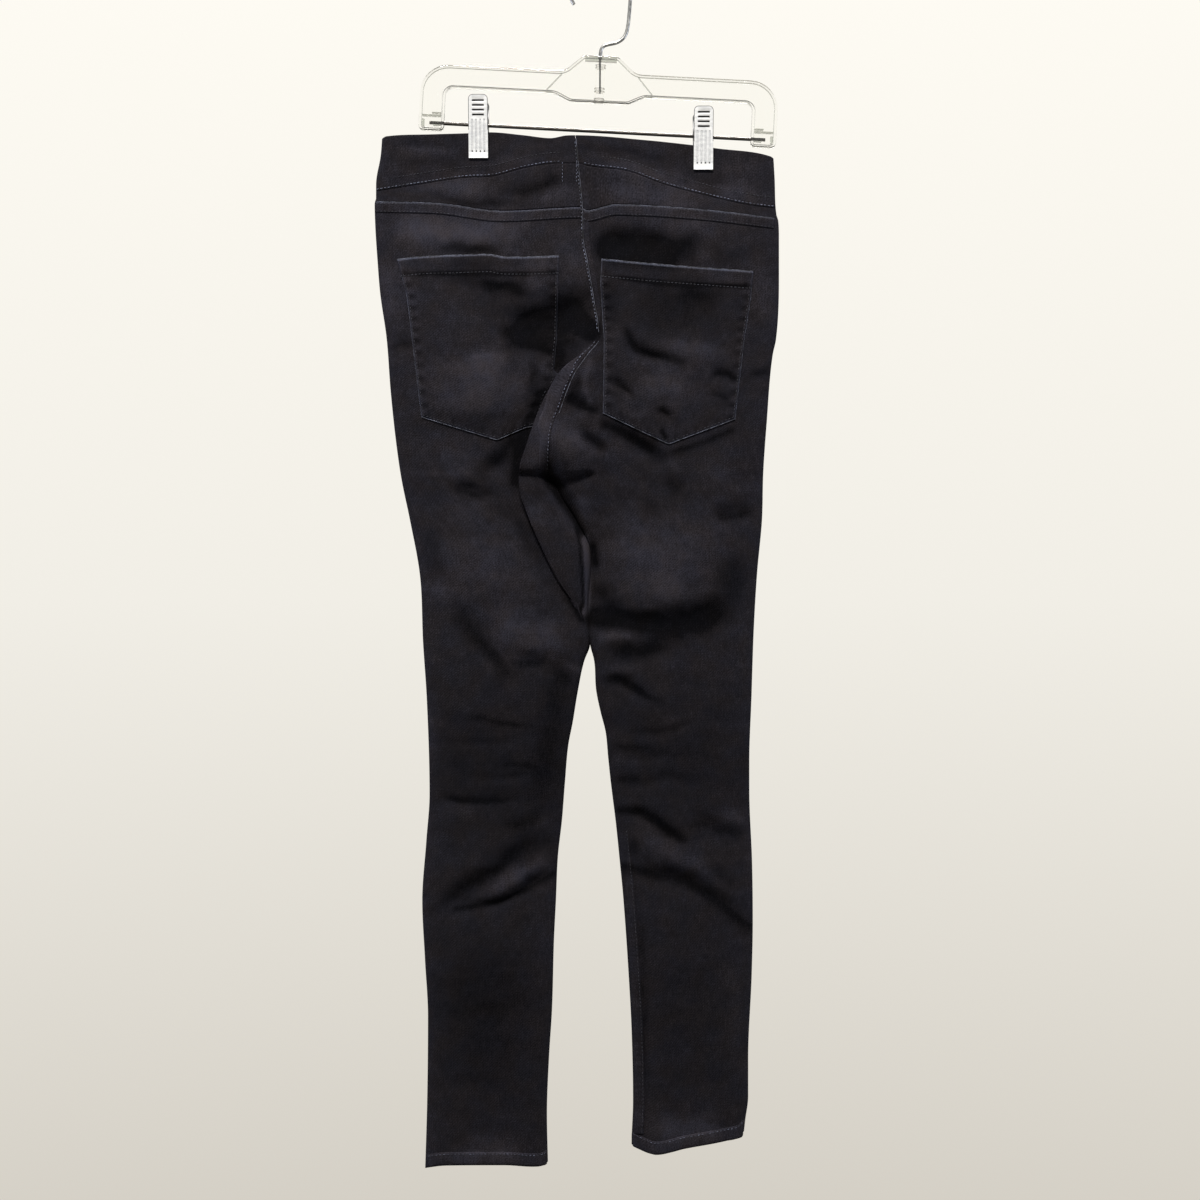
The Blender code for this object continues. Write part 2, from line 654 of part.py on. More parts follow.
def block(size, centre):
    """A plain block."""
    shape = bmesh.new()
    bmesh.ops.create_cube(shape, size=1.0)
    bmesh.ops.scale(shape, verts=shape.verts, vec=[value * MM for value in size])
    bmesh.ops.translate(shape, verts=shape.verts, vec=centre * MM)
    return shape


def make_clip_plate(side, face, metal):
    """One plate: a pressed sheet, square at the jaw and round at the thumb end, with two cheeks."""
    centre = clip_centre(side)
    sign = -1 if face == "back" else 1
    jaw = PINCH + RUNNING_GAP + SEAM_GAP / 2
    half = CLIP_WIDTH / 2
    corners = [
        Corner(-half, -CLIP_BELOW, CLIP_FOOT_RADIUS), Corner(-half, CLIP_ABOVE, CLIP_TOP_RADIUS),
        Corner(half, CLIP_ABOVE, CLIP_TOP_RADIUS), Corner(half, -CLIP_BELOW, CLIP_FOOT_RADIUS),
    ]
    lean = (CLIP_OPEN_TOP - jaw) / (CLIP_ABOVE + CLIP_BELOW)

    def stand(z, out):
        return sign * (jaw + lean * (z + CLIP_BELOW) + out)

    sheet = [Vector((p.x, stand(p.y, 0), p.y)) * MM for p in arc_corners(corners)]
    plate = add_object(f"clip_{side}_{face}", extruded(sheet, (0, sign * CLIP_SHEET * MM, 0)), metal)
    plate.location = centre * MM
    for end in (-1, 1):
        near = SEAM_GAP / 2 * sign
        x = end * (half - CHEEK_THICKNESS)
        profile = [
            Vector((x, near, -CHEEK_HALF_HEIGHT)), Vector((x, near, CHEEK_HALF_HEIGHT)),
            Vector((x, stand(CHEEK_HALF_HEIGHT, CLIP_SHEET / 2), CHEEK_HALF_HEIGHT)),
            Vector((x, stand(-CHEEK_HALF_HEIGHT, CLIP_SHEET / 2), -CHEEK_HALF_HEIGHT)),
        ]
        outward = (end * (CHEEK_THICKNESS - CHEEK_INSET) * MM, 0, 0)
        cheek = extruded([(centre + point) * MM for point in profile], outward)
        cut(plate, add_cutter(f"cheek {side} {face} {end}", cheek), "UNION")
    place = Matrix.Translation(centre * MM) @ Matrix.Rotation(HANGER_TILT, 4, "Y") @ LYING
    pivot = rod(BAR_RADIUS + RUNNING_GAP, CLIP_WIDTH + 2 * PIVOT_OVERRUN, place)
    cut(plate, add_cutter(f"pivot {side} {face}", pivot))
    for i in range(SLOTS):
        z = CLIP_ABOVE - SLOT_FROM_TOP - i * SLOT_PITCH
        slot = block(SLOT_SIZE, centre + Vector((0, stand(z, 0), z)))
        cut(plate, add_cutter(f"slot {side} {face} {i}", slot))


def make_spring(side, metal):
    """The coiled spring round the bar between a clip's cheeks, as the sleeve that its turns fill."""
    shape = bmesh.new()
    near, far = BAR_RADIUS + RUNNING_GAP, SPRING_RADIUS
    profile = [(near, -1), (near, 1), (far, 1), (far, -1)]
    verts = [shape.verts.new((end * SPRING_HALF_LENGTH * MM, 0, radius * MM)) for radius, end in profile]
    edges = [shape.edges.new((verts[i], verts[(i + 1) % 4])) for i in range(4)]
    bmesh.ops.spin(
        shape, geom=verts + edges, angle=2 * math.pi, steps=SPRING_STEPS, axis=(1, 0, 0), cent=(0, 0, 0),
        use_merge=True,
    )
    bmesh.ops.remove_doubles(shape, verts=shape.verts, dist=1e-6)
    bmesh.ops.recalc_face_normals(shape, faces=shape.faces)
    spring = add_object(f"clip_{side}_spring", shape, metal)
    turned = Matrix.Rotation(HANGER_TILT, 4, "Y")
    spring.matrix_world = Matrix.Translation(clip_centre(side) * MM) @ turned


def main():
    """Builds the garment, then the hanger that holds it."""
    denim = material("black denim", (0.018, 0.018, 0.022), 0.85)
    clear = material("clear styrene", (0.85, 0.87, 0.86), 0.08, alpha=0.35)
    steel = material("dark steel bar", (0.12, 0.12, 0.12), 0.35, metallic=1.0)
    wire = material("hook wire", (0.35, 0.35, 0.35), 0.3, metallic=1.0)
    plated = material("plated clip sheet", (0.8, 0.8, 0.8), 0.25, metallic=1.0)
    layers = make_panels(denim)
    make_upper(denim)
    make_pockets(layers, denim)
    make_frame(clear)
    make_bar(steel)
    make_hook(wire)
    for side in CLIPS:
        for face in ("back", "front"):
            make_clip_plate(side, face, plated)
        make_spring(side, plated)


for stale in list(bpy.data.objects):
    bpy.data.objects.remove(stale, do_unlink=True)
PART = bpy.data.collections.new("skinny jeans on a clip hanger")
CUTTERS = bpy.data.collections.new("cutters")
bpy.context.scene.collection.children.link(PART)
bpy.context.scene.collection.children.link(CUTTERS)
main()
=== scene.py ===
"""The looks of dark skinny jeans that hang from a clear clip hanger with their back to the viewer.

Lengths in the tables are millimetres. x runs to the right as the back is seen, and a drop is the distance
below the underside of the hook's crown, which is the origin. The cloth's surface is worked out from the
garment's own sections, folds and seams, so that every panel, pocket, seam and stitch lies on one form.
"""

import logging
import math
from dataclasses import dataclass, field
from enum import Enum
from typing import Callable, NamedTuple, Sequence

import bmesh
import bpy
import numpy as np
from bmesh.types import BMesh, BMVert
from bpy.types import Material, Mesh, Node, NodeSocket, NodeTree, Object
from mathutils import Matrix, Vector, noise

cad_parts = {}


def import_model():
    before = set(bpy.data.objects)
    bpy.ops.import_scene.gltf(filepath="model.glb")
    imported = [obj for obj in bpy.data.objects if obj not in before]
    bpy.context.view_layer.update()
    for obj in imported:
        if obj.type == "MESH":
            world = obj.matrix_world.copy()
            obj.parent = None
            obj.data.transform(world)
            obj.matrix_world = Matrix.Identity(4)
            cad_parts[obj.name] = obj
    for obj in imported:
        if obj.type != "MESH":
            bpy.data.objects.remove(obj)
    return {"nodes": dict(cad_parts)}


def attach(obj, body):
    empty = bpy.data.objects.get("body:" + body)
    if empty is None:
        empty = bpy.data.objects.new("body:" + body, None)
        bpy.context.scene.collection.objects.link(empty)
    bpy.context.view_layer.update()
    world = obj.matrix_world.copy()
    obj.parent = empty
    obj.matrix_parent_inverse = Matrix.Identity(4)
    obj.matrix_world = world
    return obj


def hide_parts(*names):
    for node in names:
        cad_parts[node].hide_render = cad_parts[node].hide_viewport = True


Array = np.ndarray
Pair = tuple[float, float]

LOG = logging.getLogger("skinny jeans")
MM = 0.001
BODY = "root"


class Side(Enum):
    """The wearer's own sides, which are also the sides of the view from behind."""

    LEFT = -1
    RIGHT = 1

    def __str__(self) -> str:
        """The word for it in the names of pieces."""
        return self.name.lower()


class Face(Enum):
    """The back, which faces -Y, and the front."""

    BACK = -1
    FRONT = 1

    def __str__(self) -> str:
        """The word for it in the names of pieces."""
        return self.name.lower()


def ease(value: Array | float) -> Array:
    """Goes from 0 to 1 as the value does, level at both ends."""
    value = np.clip(value, 0.0, 1.0)
    return value * value * (3 - 2 * value)


def through(points: Array, between: int) -> Array:
    """Draws a smooth curve through a few points.

    Args:
        points: The points, one a row, in two or three dimensions.
        between: How many steps to take from each point to the next.

    Returns:
        The curve's points, the given ones among them.
    """
    ends = np.vstack((2 * points[0] - points[1], points, 2 * points[-1] - points[-2]))
    made = []
    for a, b, c, d in zip(ends, ends[1:], ends[2:], ends[3:]):
        for t in np.arange(between) / between:
            bend = (2 * a - 5 * b + 4 * c - d) * t * t + (3 * b - a - 3 * c + d) * t**3
            made.append((2 * b + (c - a) * t + bend) / 2)
    return np.array(made + [points[-1]])


def length_of(line: Array) -> float:
    """How long a line through points is."""
    return np.linalg.norm(np.diff(line, axis=0), axis=-1).sum()


@dataclass(frozen=True)
class Reading:
    """A short table that is read on a curve which never overshoots its values."""

    places: tuple[float, ...]
    values: tuple[float, ...]

    @classmethod
    def of(cls, *pairs: Pair) -> "Reading":
        """Makes a table of (place, value) pairs."""
        return cls(tuple(place for place, _ in pairs), tuple(value for _, value in pairs))

    def at(self, where: Array | float) -> Array:
        """Reads the table.

        Args:
            where: The places to read it at.

        Returns:
            The value at each place, level past the table's two ends.
        """
        xs, ys = np.array(self.places, float), np.array(self.values, float)
        slopes = np.diff(ys) / np.diff(xs)
        tangents = np.concatenate(([slopes[0]], (slopes[1:] + slopes[:-1]) / 2, [slopes[-1]]))
        for i, slope in enumerate(slopes):
            for end in (i, i + 1):
                held = math.copysign(min(abs(tangents[end]), 3 * abs(slope)), slope)
                tangents[end] = 0.0 if tangents[end] * slope <= 0 else held
        where = np.clip(np.asarray(where, float), xs[0], xs[-1])
        i = np.clip(np.searchsorted(xs, where, side="right") - 1, 0, len(slopes) - 1)
        span = xs[i + 1] - xs[i]
        t = (where - xs[i]) / span
        start = (1 + 2 * t) * (1 - t) ** 2 * ys[i] + t * (1 - t) ** 2 * span * tangents[i]
        return start + t * t * (3 - 2 * t) * ys[i + 1] + t * t * (t - 1) * span * tangents[i + 1]


# How finely a stroke's line is drawn, and how a stroke thins towards its ends and leans over.
LINE_STEPS = 8
END_TAPER = 5.0
TAPER_SHARE = 0.35
LEAN_SHARE = 0.6
REACH_WIDTHS = 3


class Stroke(NamedTuple):
    """A stroke drawn on the cloth: a fold, in millimetres of height, or a share of its faded and painted
    tone.

    It sinks or darkens the cloth where its height is below nought, and as a tone it paints shade or light as
    well as fading. A lean above nought makes the bank on the
    right of the line's direction, seen from behind, the steep one. A flatness above 2 gives it a level top
    and steeper banks. A steady one keeps exactly to its line, and to its full height up to its ends.
    """

    line: tuple[Pair, ...]
    width: float
    height: float
    lean: float
    flatness: float
    steady: bool

    def at(self, x: Array, drop: Array) -> Array:
        """Works out how high the stroke is.

        Args:
            x: The places' x in millimetres.
            drop: Their drops.

        Returns:
            Its height at each place.
        """
        path = through(np.array(self.line, float), LINE_STEPS)
        reach = REACH_WIDTHS * self.width
        low, high = path.min(0) - reach, path.max(0) + reach
        near = (x > low[0]) & (x < high[0]) & (drop > low[1]) & (drop < high[1])
        total = np.zeros_like(x)
        if not near.any():
            return total
        here = np.stack((x[near], drop[near]), -1)
        run = np.diff(path, axis=0)
        gap = here[:, None] - path[:-1]
        part = np.clip((gap * run).sum(-1) / (run * run).sum(-1), 0, 1)
        off = gap - part[..., None] * run
        distance = np.linalg.norm(off, axis=-1)
        best = distance.argmin(1)
        pick = np.arange(len(best))
        past = run[best, 0] * gap[pick, best, 1] - run[best, 1] * gap[pick, best, 0]
        past /= np.linalg.norm(run[best], axis=-1)
        along = (best + part[pick, best]) / len(run)
        slender = np.clip(length_of(path) / (END_TAPER * self.width), 0, 1)
        slender *= not self.steady
        taper = 1 - slender * (1 - ease(along / TAPER_SHARE) * ease((1 - along) / TAPER_SHARE))
        width = self.width * (1 - LEAN_SHARE * self.lean * np.tanh(past / self.width * 2))
        total[near] = self.height * taper * np.exp(-((distance[pick, best] / width) ** self.flatness))
        return total


def soft(height: float, width: float, *line: Pair, lean: float = 0.0, flat: float = 2.0) -> Stroke:
    """A stroke that wanders a little off its line and thins towards its ends."""
    return Stroke(line, width, height, lean, flat, False)


def firm(height: float, width: float, *line: Pair, lean: float = 0.0, flat: float = 2.0) -> Stroke:
    """A stroke that keeps to its line, and to its full height up to its ends."""
    return Stroke(line, width, height, lean, flat, True)


@dataclass
class Unevenness:
    """Random heights over the whole garment, worked out on a coarse grid and read between its points."""

    size: float
    stretch: float
    layer: float
    low: Pair = (-225.0, 130.0)
    high: Pair = (185.0, 1110.0)
    steps_per_size: int = 5
    grid: Array = field(init=False, repr=False)
    step: float = field(init=False)

    def __post_init__(self) -> None:
        """Samples the noise."""
        self.step = self.size / self.steps_per_size
        xs = np.arange(self.low[0], self.high[0], self.step) / self.size
        drops = np.arange(self.low[1], self.high[1], self.step) / (self.size * self.stretch)
        self.grid = np.array([[noise.noise((x, drop, self.layer)) for x in xs] for drop in drops])

    def at(self, x: Array, drop: Array) -> Array:
        """Reads the unevenness.

        Args:
            x: The places' x in millimetres.
            drop: Their drops.

        Returns:
            The height at each place, eased from one point of the grid to the next.
        """
        places = []
        for value, low, count in zip((drop, x), self.low[::-1], self.grid.shape):
            place = np.clip((value - low) / self.step, 0, count - 1.001)
            whole = place.astype(int)
            places.append((whole, ease(place - whole)))
        (row, down), (column, over) = places
        top = self.grid[row, column] * (1 - over) + self.grid[row, column + 1] * over
        foot = self.grid[row + 1, column] * (1 - over) + self.grid[row + 1, column + 1] * over
        return top * (1 - down) + foot * down


# How far strokes wander off the lines drawn for them, in millimetres, for each size of unevenness.
WANDER = ((4.0, Unevenness(31.0, 1.2, 1.5), Unevenness(31.0, 1.2, 4.5)),
          (2.0, Unevenness(11.0, 1.0, 8.5), Unevenness(11.0, 1.0, 12.5)))
# How much streaks change the wear, and the small ripples of each face.
STREAKS = ((0.07, Unevenness(26.0, 0.22, 30.5)), (0.05, Unevenness(8.0, 0.8, 40.5)))
RIPPLES = {side: (Unevenness(34.0, 1.6, side + 7.3), Unevenness(11.0, 1.6, side + 19.3)) for side in (-1, 1)}


def drawn(strokes: Sequence[Stroke], x: Array, drop: Array) -> Array:
    """Adds up strokes, along lines that wander a little as real ones do.

    Args:
        strokes: The strokes.
        x: The places' x in millimetres.
        drop: Their drops.

    Returns:
        The sum of their heights at each place.
    """
    off_x = sum(reach * across.at(x, drop) for reach, across, _ in WANDER)
    off_drop = sum(reach * down.at(x, drop) for reach, _, down in WANDER)
    total = np.zeros_like(x)
    for stroke in strokes:
        total += stroke.at(x, drop) if stroke.steady else stroke.at(x + off_x, drop + off_drop)
    return total


# The sewn edges, seams and sections, read off as drops and x, or as x and drops.
OUTSEAM = {
    Side.LEFT: Reading.of(
        (150, -193.5), (160, -194), (175, -195.2), (200, -199.3), (214, -199.4), (217, -200.6),
        (240, -199.9), (269, -198), (298, -195.6), (337, -190), (386, -186.2), (434, -181), (464, -176.5),
        (499, -169.2), (549, -160.2), (608, -157.5), (658, -154.2), (743, -151.7), (785, -154.6),
        (838, -158.2), (890, -155.8), (941, -153.1), (1015, -153.8), (1077, -155.6),
    ),
    Side.RIGHT: Reading.of(
        (165, 153.6), (180, 154.6), (194, 155.4), (229, 157.3), (232, 158.6), (250, 159.3), (281, 159.3),
        (339, 156.6), (352, 153.8), (414, 148.3), (458, 145.3), (499, 144.2), (546, 139.9), (594, 137),
        (658, 134.8), (714, 132.9), (739, 132.9), (805, 135.4), (855, 136), (905, 135), (978, 131.9),
        (1012, 131.9), (1034, 129.2), (1045, 128),
    ),
}
INSEAM = {
    Side.LEFT: Reading.of(
        (459, -45.9), (470, -38.1), (482, -32.1), (496, -23.2), (507, -17.2), (518, -10.8), (527, -7.9),
        (536, -7.2), (547, -7.9), (577, -10.2), (591, -9.4), (606, -8.6), (613, -9.4), (624, -13.8),
        (651, -19.6), (680, -24.4), (699, -28.1), (733, -31.2), (766, -33.8), (798, -37.4), (838, -39.2),
        (872, -40.9), (935, -42.7), (978, -45.4), (1028, -47.2), (1072, -46.3),
    ),
    Side.RIGHT: Reading.of(
        (459, -46.4), (470, -39.1), (482, -33.1), (496, -23.7), (507, -17.6), (518, -11.2), (527, -8.4),
        (536, -7.8), (548, -8.6), (577, -10.8), (591, -10.4), (606, -9.6), (613, -8.2), (624, -5.3),
        (651, -3.4), (670, 0.5), (688, 5), (710, 7.2), (731, 9.4), (768, 14), (805, 17.8), (833, 20.5),
        (909, 25.8), (953, 28.1), (1015, 29.4), (1050, 28.1),
    ),
}
SEAM = {
    Face.BACK: Reading.of(
        (150, -22.6), (183, -19.6), (221, -16), (250, -15.1), (269, -11.6), (300, -6.2), (326, -2),
        (336, -1.5), (352, -12.5), (367, -23.1), (386, -31.6), (400, -36.5), (417, -43), (436, -44.9),
        (459, -46.3),
    ),
    Face.FRONT: Reading.of((150, -21), (220, -24), (330, -32), (459, -46.3)),
}
DEPTH = {
    Face.BACK: Reading.of(
        (150, 6.2), (175, 6.4), (200, 8), (240, 11.5), (300, 15.5), (360, 17), (420, 15.5), (459, 13.5),
        (500, 12), (580, 12), (700, 10.8), (850, 10.2), (1000, 9.2), (1090, 8.6),
    ),
    Face.FRONT: Reading.of(
        (150, 6.2), (175, 6.2), (200, 7), (240, 8.5), (300, 9.5), (360, 10.5), (420, 10.5), (459, 10),
        (500, 10), (580, 10), (700, 9.2), (850, 9), (1000, 8.4), (1090, 8.2),
    ),
}
FLAP_EDGE = Reading.of(
    (330, 3), (345, -8), (366, -32.4), (388, -46.3), (409, -55.5), (434, -64.1), (451, -69.4),
    (467, -70.3), (495, -62.3), (526, -49), (555, -34.7), (590, -14.2), (600, -12),
)
FLAP_RISE = Reading.of(
    (330, 0), (345, 2.5), (366, 5), (388, 6.6), (409, 7.4), (434, 7.8), (451, 7.4), (467, 6.4), (495, 5.2),
    (526, 4.2), (555, 3), (590, 0.8), (600, 0),
)
WAIST_TOP = Reading.of(
    (-196, 166), (-194.4, 161), (-192.2, 158.6), (-187, 157.4), (-150, 156), (-117, 155), (-98, 154.2),
    (-68, 156.8), (-44, 159.4), (-30, 157), (-22, 156.8), (41, 161.2), (82, 165.6), (103, 168.4),
    (151, 175.4), (153.4, 176.6), (154.8, 178.4), (156, 182),
)
BAND_SEAM = Reading.of(
    (-201, 206.9), (-158, 200), (-120, 194.5), (-95, 193.1), (-68, 186), (-36, 181.6), (-18, 181.6),
    (-13, 183.3), (25, 188.7), (57, 200.3), (90, 209.2), (131, 218.5), (158, 222),
)
YOKE_SEAM = Reading.of(
    (-202, 215.4), (-142, 217.2), (-87, 223.9), (-16, 220.7), (-13, 223.8), (14, 218.2), (90, 222.5),
    (160, 230.6),
)
FRONT_BAND_SEAM = Reading.of((-201, 206.9), (-22, 217), (158, 222))
HEM = {
    Side.LEFT: Reading.of(
        (-156, 1076), (-137, 1073.9), (-85, 1073.6), (-60, 1074.9), (-52, 1074.2), (-46, 1070),
    ),
    Side.RIGHT: Reading.of(
        (28, 1054.7), (40, 1060.9), (50, 1064.4), (75, 1059.1), (112, 1052), (124, 1048.4), (129, 1042),
    ),
}

# The folds: how far each lifts the cloth, before FOLD_SCALE, and how wide it is, in millimetres.
BACK_FOLDS = (
    # The left pocket, and the seat round the hollow that the spare cloth starts from.
    soft(-1.7, 6.2, (-156, 261), (-120, 258), (-85, 262)),
    soft(-1.6, 8.0, (-154, 282), (-107, 293), (-53, 303)),
    soft(-5.2, 15.1, (-86, 334), (-49, 323), (-2, 318), flat=3.0),
    soft(-2.6, 10.7, (-39, 302), (-2, 307)),
    soft(-2.0, 8.0, (-78, 348), (-34, 350)),
    soft(3.0, 30.3, (-129, 382), (-85, 378), flat=4.0),
    soft(1.6, 10.7, (-49, 373), (-55, 391)),
    soft(-1.8, 5.3, (-189, 350), (-176, 347), (-157, 342)),
    # The left thigh.
    soft(-1.7, 8.0, (-82, 439), (-96, 455), (-110, 471)),
    soft(-1.9, 6.2, (-137, 476), (-114, 474), (-89, 482)),
    soft(2.4, 35.6, (-116, 535), (-89, 562), flat=3.0),
    soft(-1.5, 8.0, (-130, 571), (-112, 604), (-88, 648)),
    soft(-2.2, 7.1, (-89, 611), (-53, 626), (-21, 638)),
    soft(-1.2, 12.0, (-34, 615), (-38, 695), (-48, 775)),
    # The left knee, calf and shin.
    soft(-0.8, 4.5, (-151, 697), (-116, 700), (-69, 693)),
    soft(-0.8, 3.6, (-128, 724), (-89, 730), (-53, 724)),
    soft(-1.1, 3.6, (-151, 746), (-116, 748), (-64, 749)),
    soft(-2.6, 7.1, (-36, 777), (-71, 793), (-110, 823), (-157, 859)),
    soft(2.6, 8.9, (-39, 795), (-69, 814), (-116, 839)),
    soft(-2.5, 4.5, (-36, 809), (-60, 823), (-89, 837), (-128, 846)),
    soft(1.4, 23.1, (-142, 882), (-71, 864), flat=3.0),
    soft(-0.7, 10.7, (-142, 935), (-89, 941), (-49, 930)),
    soft(-0.7, 8.9, (-146, 1007), (-107, 1001), (-62, 1008)),
    # The fold of spare cloth's end, and the crotch.
    firm(-1.7, 4.2, (-70, 458), (-57, 460), (-46, 465), lean=-0.6, flat=3.0),
    firm(-1.7, 4.6, (-46, 466), (-29, 465), (-12, 459), lean=-0.6, flat=3.0),
    soft(-2.6, 6.2, (-30, 385), (-20, 396), (-7, 401)),
    soft(2.6, 17.8, (-34, 426), (-21, 444), flat=3.0),
    # The right pocket and what lies under it.
    soft(-4.2, 12.0, (-3, 249), (30, 251), (66, 255), flat=2.3),
    soft(-2.8, 6.2, (20, 334), (39, 351), (75, 359)),
    soft(1.4, 12.5, (61, 343), (100, 348)),
    soft(-2.2, 5.3, (5, 374), (20, 380), (36, 391)),
    soft(-1.8, 5.3, (50, 398), (57, 403), (67, 411)),
    soft(-1.7, 6.2, (96, 365), (123, 372)),
    soft(1.8, 16.0, (36, 392), (80, 389), flat=3.0),
    soft(-3.2, 7.1, (4, 416), (41, 436), (64, 453)),
    soft(-2.0, 5.3, (-21, 417), (-7, 428), (7, 438)),
    # The right thigh.
    soft(-1.4, 8.9, (61, 457), (75, 474)),
    soft(-1.9, 7.1, (94, 498), (117, 493), (139, 490)),
    soft(2.8, 39.2, (44, 535), (89, 544), flat=4.0),
    soft(-3.2, 13.3, (-5, 583), (36, 595), (89, 588), (132, 569), flat=3.0),
    soft(1.6, 8.0, (4, 603), (36, 601)),
    soft(-1.6, 8.9, (0, 619), (44, 617), (103, 606)),
    soft(-2.2, 5.3, (-2, 643), (23, 649), (46, 662)),
    soft(1.0, 6.2, (4, 635), (36, 638)),
    # The right knee, calf and shin.
    soft(-0.9, 4.5, (14, 691), (57, 687), (94, 674)),
    soft(-0.8, 4.5, (16, 713), (53, 710), (80, 713)),
    soft(-0.9, 4.5, (18, 735), (57, 730), (100, 736)),
    soft(-3.2, 6.2, (21, 763), (38, 759), (61, 775), (82, 791)),
    soft(2.5, 10.5, (28, 772), (58, 796), (92, 817), (128, 846)),
    soft(-2.8, 7.1, (25, 800), (48, 813), (77, 821), (109, 839), (134, 862)),
    soft(-1.6, 6.2, (75, 756), (107, 774), (135, 779)),
    soft(-0.7, 10.7, (36, 918), (80, 912), (128, 923)),
    soft(-0.7, 8.9, (41, 1007), (80, 999), (126, 1003)),
    # The waistband and the yoke.
    soft(-0.9, 5.3, (-192, 172), (-151, 167), (-117, 164)),
    soft(-1.0, 5.3, (-36, 166), (36, 177), (82, 184)),
    soft(-0.9, 6.2, (89, 188), (125, 197), (153, 200)),
    soft(-1.3, 7.1, (-89, 204), (-53, 201), (-23, 198)),
)
FRONT_FOLDS = (
    # Pulls from the crotch.
    soft(-1.4, 8.0, (-160, 270), (-116, 295), (-62, 318)),
    soft(-1.6, 8.0, (-167, 330), (-116, 350), (-57, 368)),
    soft(-1.8, 7.1, (-151, 410), (-98, 415), (-53, 428)),
    soft(-1.5, 8.0, (129, 277), (80, 300), (0, 330)),
    soft(-1.7, 8.0, (135, 344), (80, 359), (-9, 378)),
    soft(-1.6, 7.1, (114, 419), (53, 428), (-27, 439)),
    soft(-2.2, 7.1, (-43, 375), (-39, 419), (-44, 455)),
    # The thighs.
    soft(2.0, 32.0, (-107, 499), (-89, 570)),
    soft(2.0, 32.0, (71, 499), (62, 570)),
    soft(-1.6, 8.0, (-142, 606), (-89, 620), (-30, 615)),
    soft(-1.6, 8.0, (9, 624), (62, 635), (126, 624)),
    # The knees.
    soft(-1.6, 5.3, (-148, 697), (-98, 706), (-39, 699)),
    soft(-1.8, 5.3, (-146, 736), (-89, 745), (-43, 738)),
    soft(-1.6, 5.3, (11, 706), (62, 715), (126, 704)),
    soft(-1.8, 5.3, (16, 748), (71, 757), (128, 748)),
    # The calves and the shins.
    soft(-2.2, 7.1, (-151, 809), (-107, 823), (-46, 837)),
    soft(-2.2, 7.1, (25, 839), (80, 827), (128, 807)),
    soft(-1.2, 8.0, (-146, 891), (-98, 898), (-53, 893)),
    soft(-1.2, 8.0, (36, 893), (80, 900), (125, 889)),
    soft(-0.9, 7.1, (-144, 989), (-98, 996), (-53, 991)),
    soft(-0.9, 7.1, (39, 991), (80, 998), (123, 989)),
)
FOLDS = {Face.BACK: BACK_FOLDS, Face.FRONT: FRONT_FOLDS}
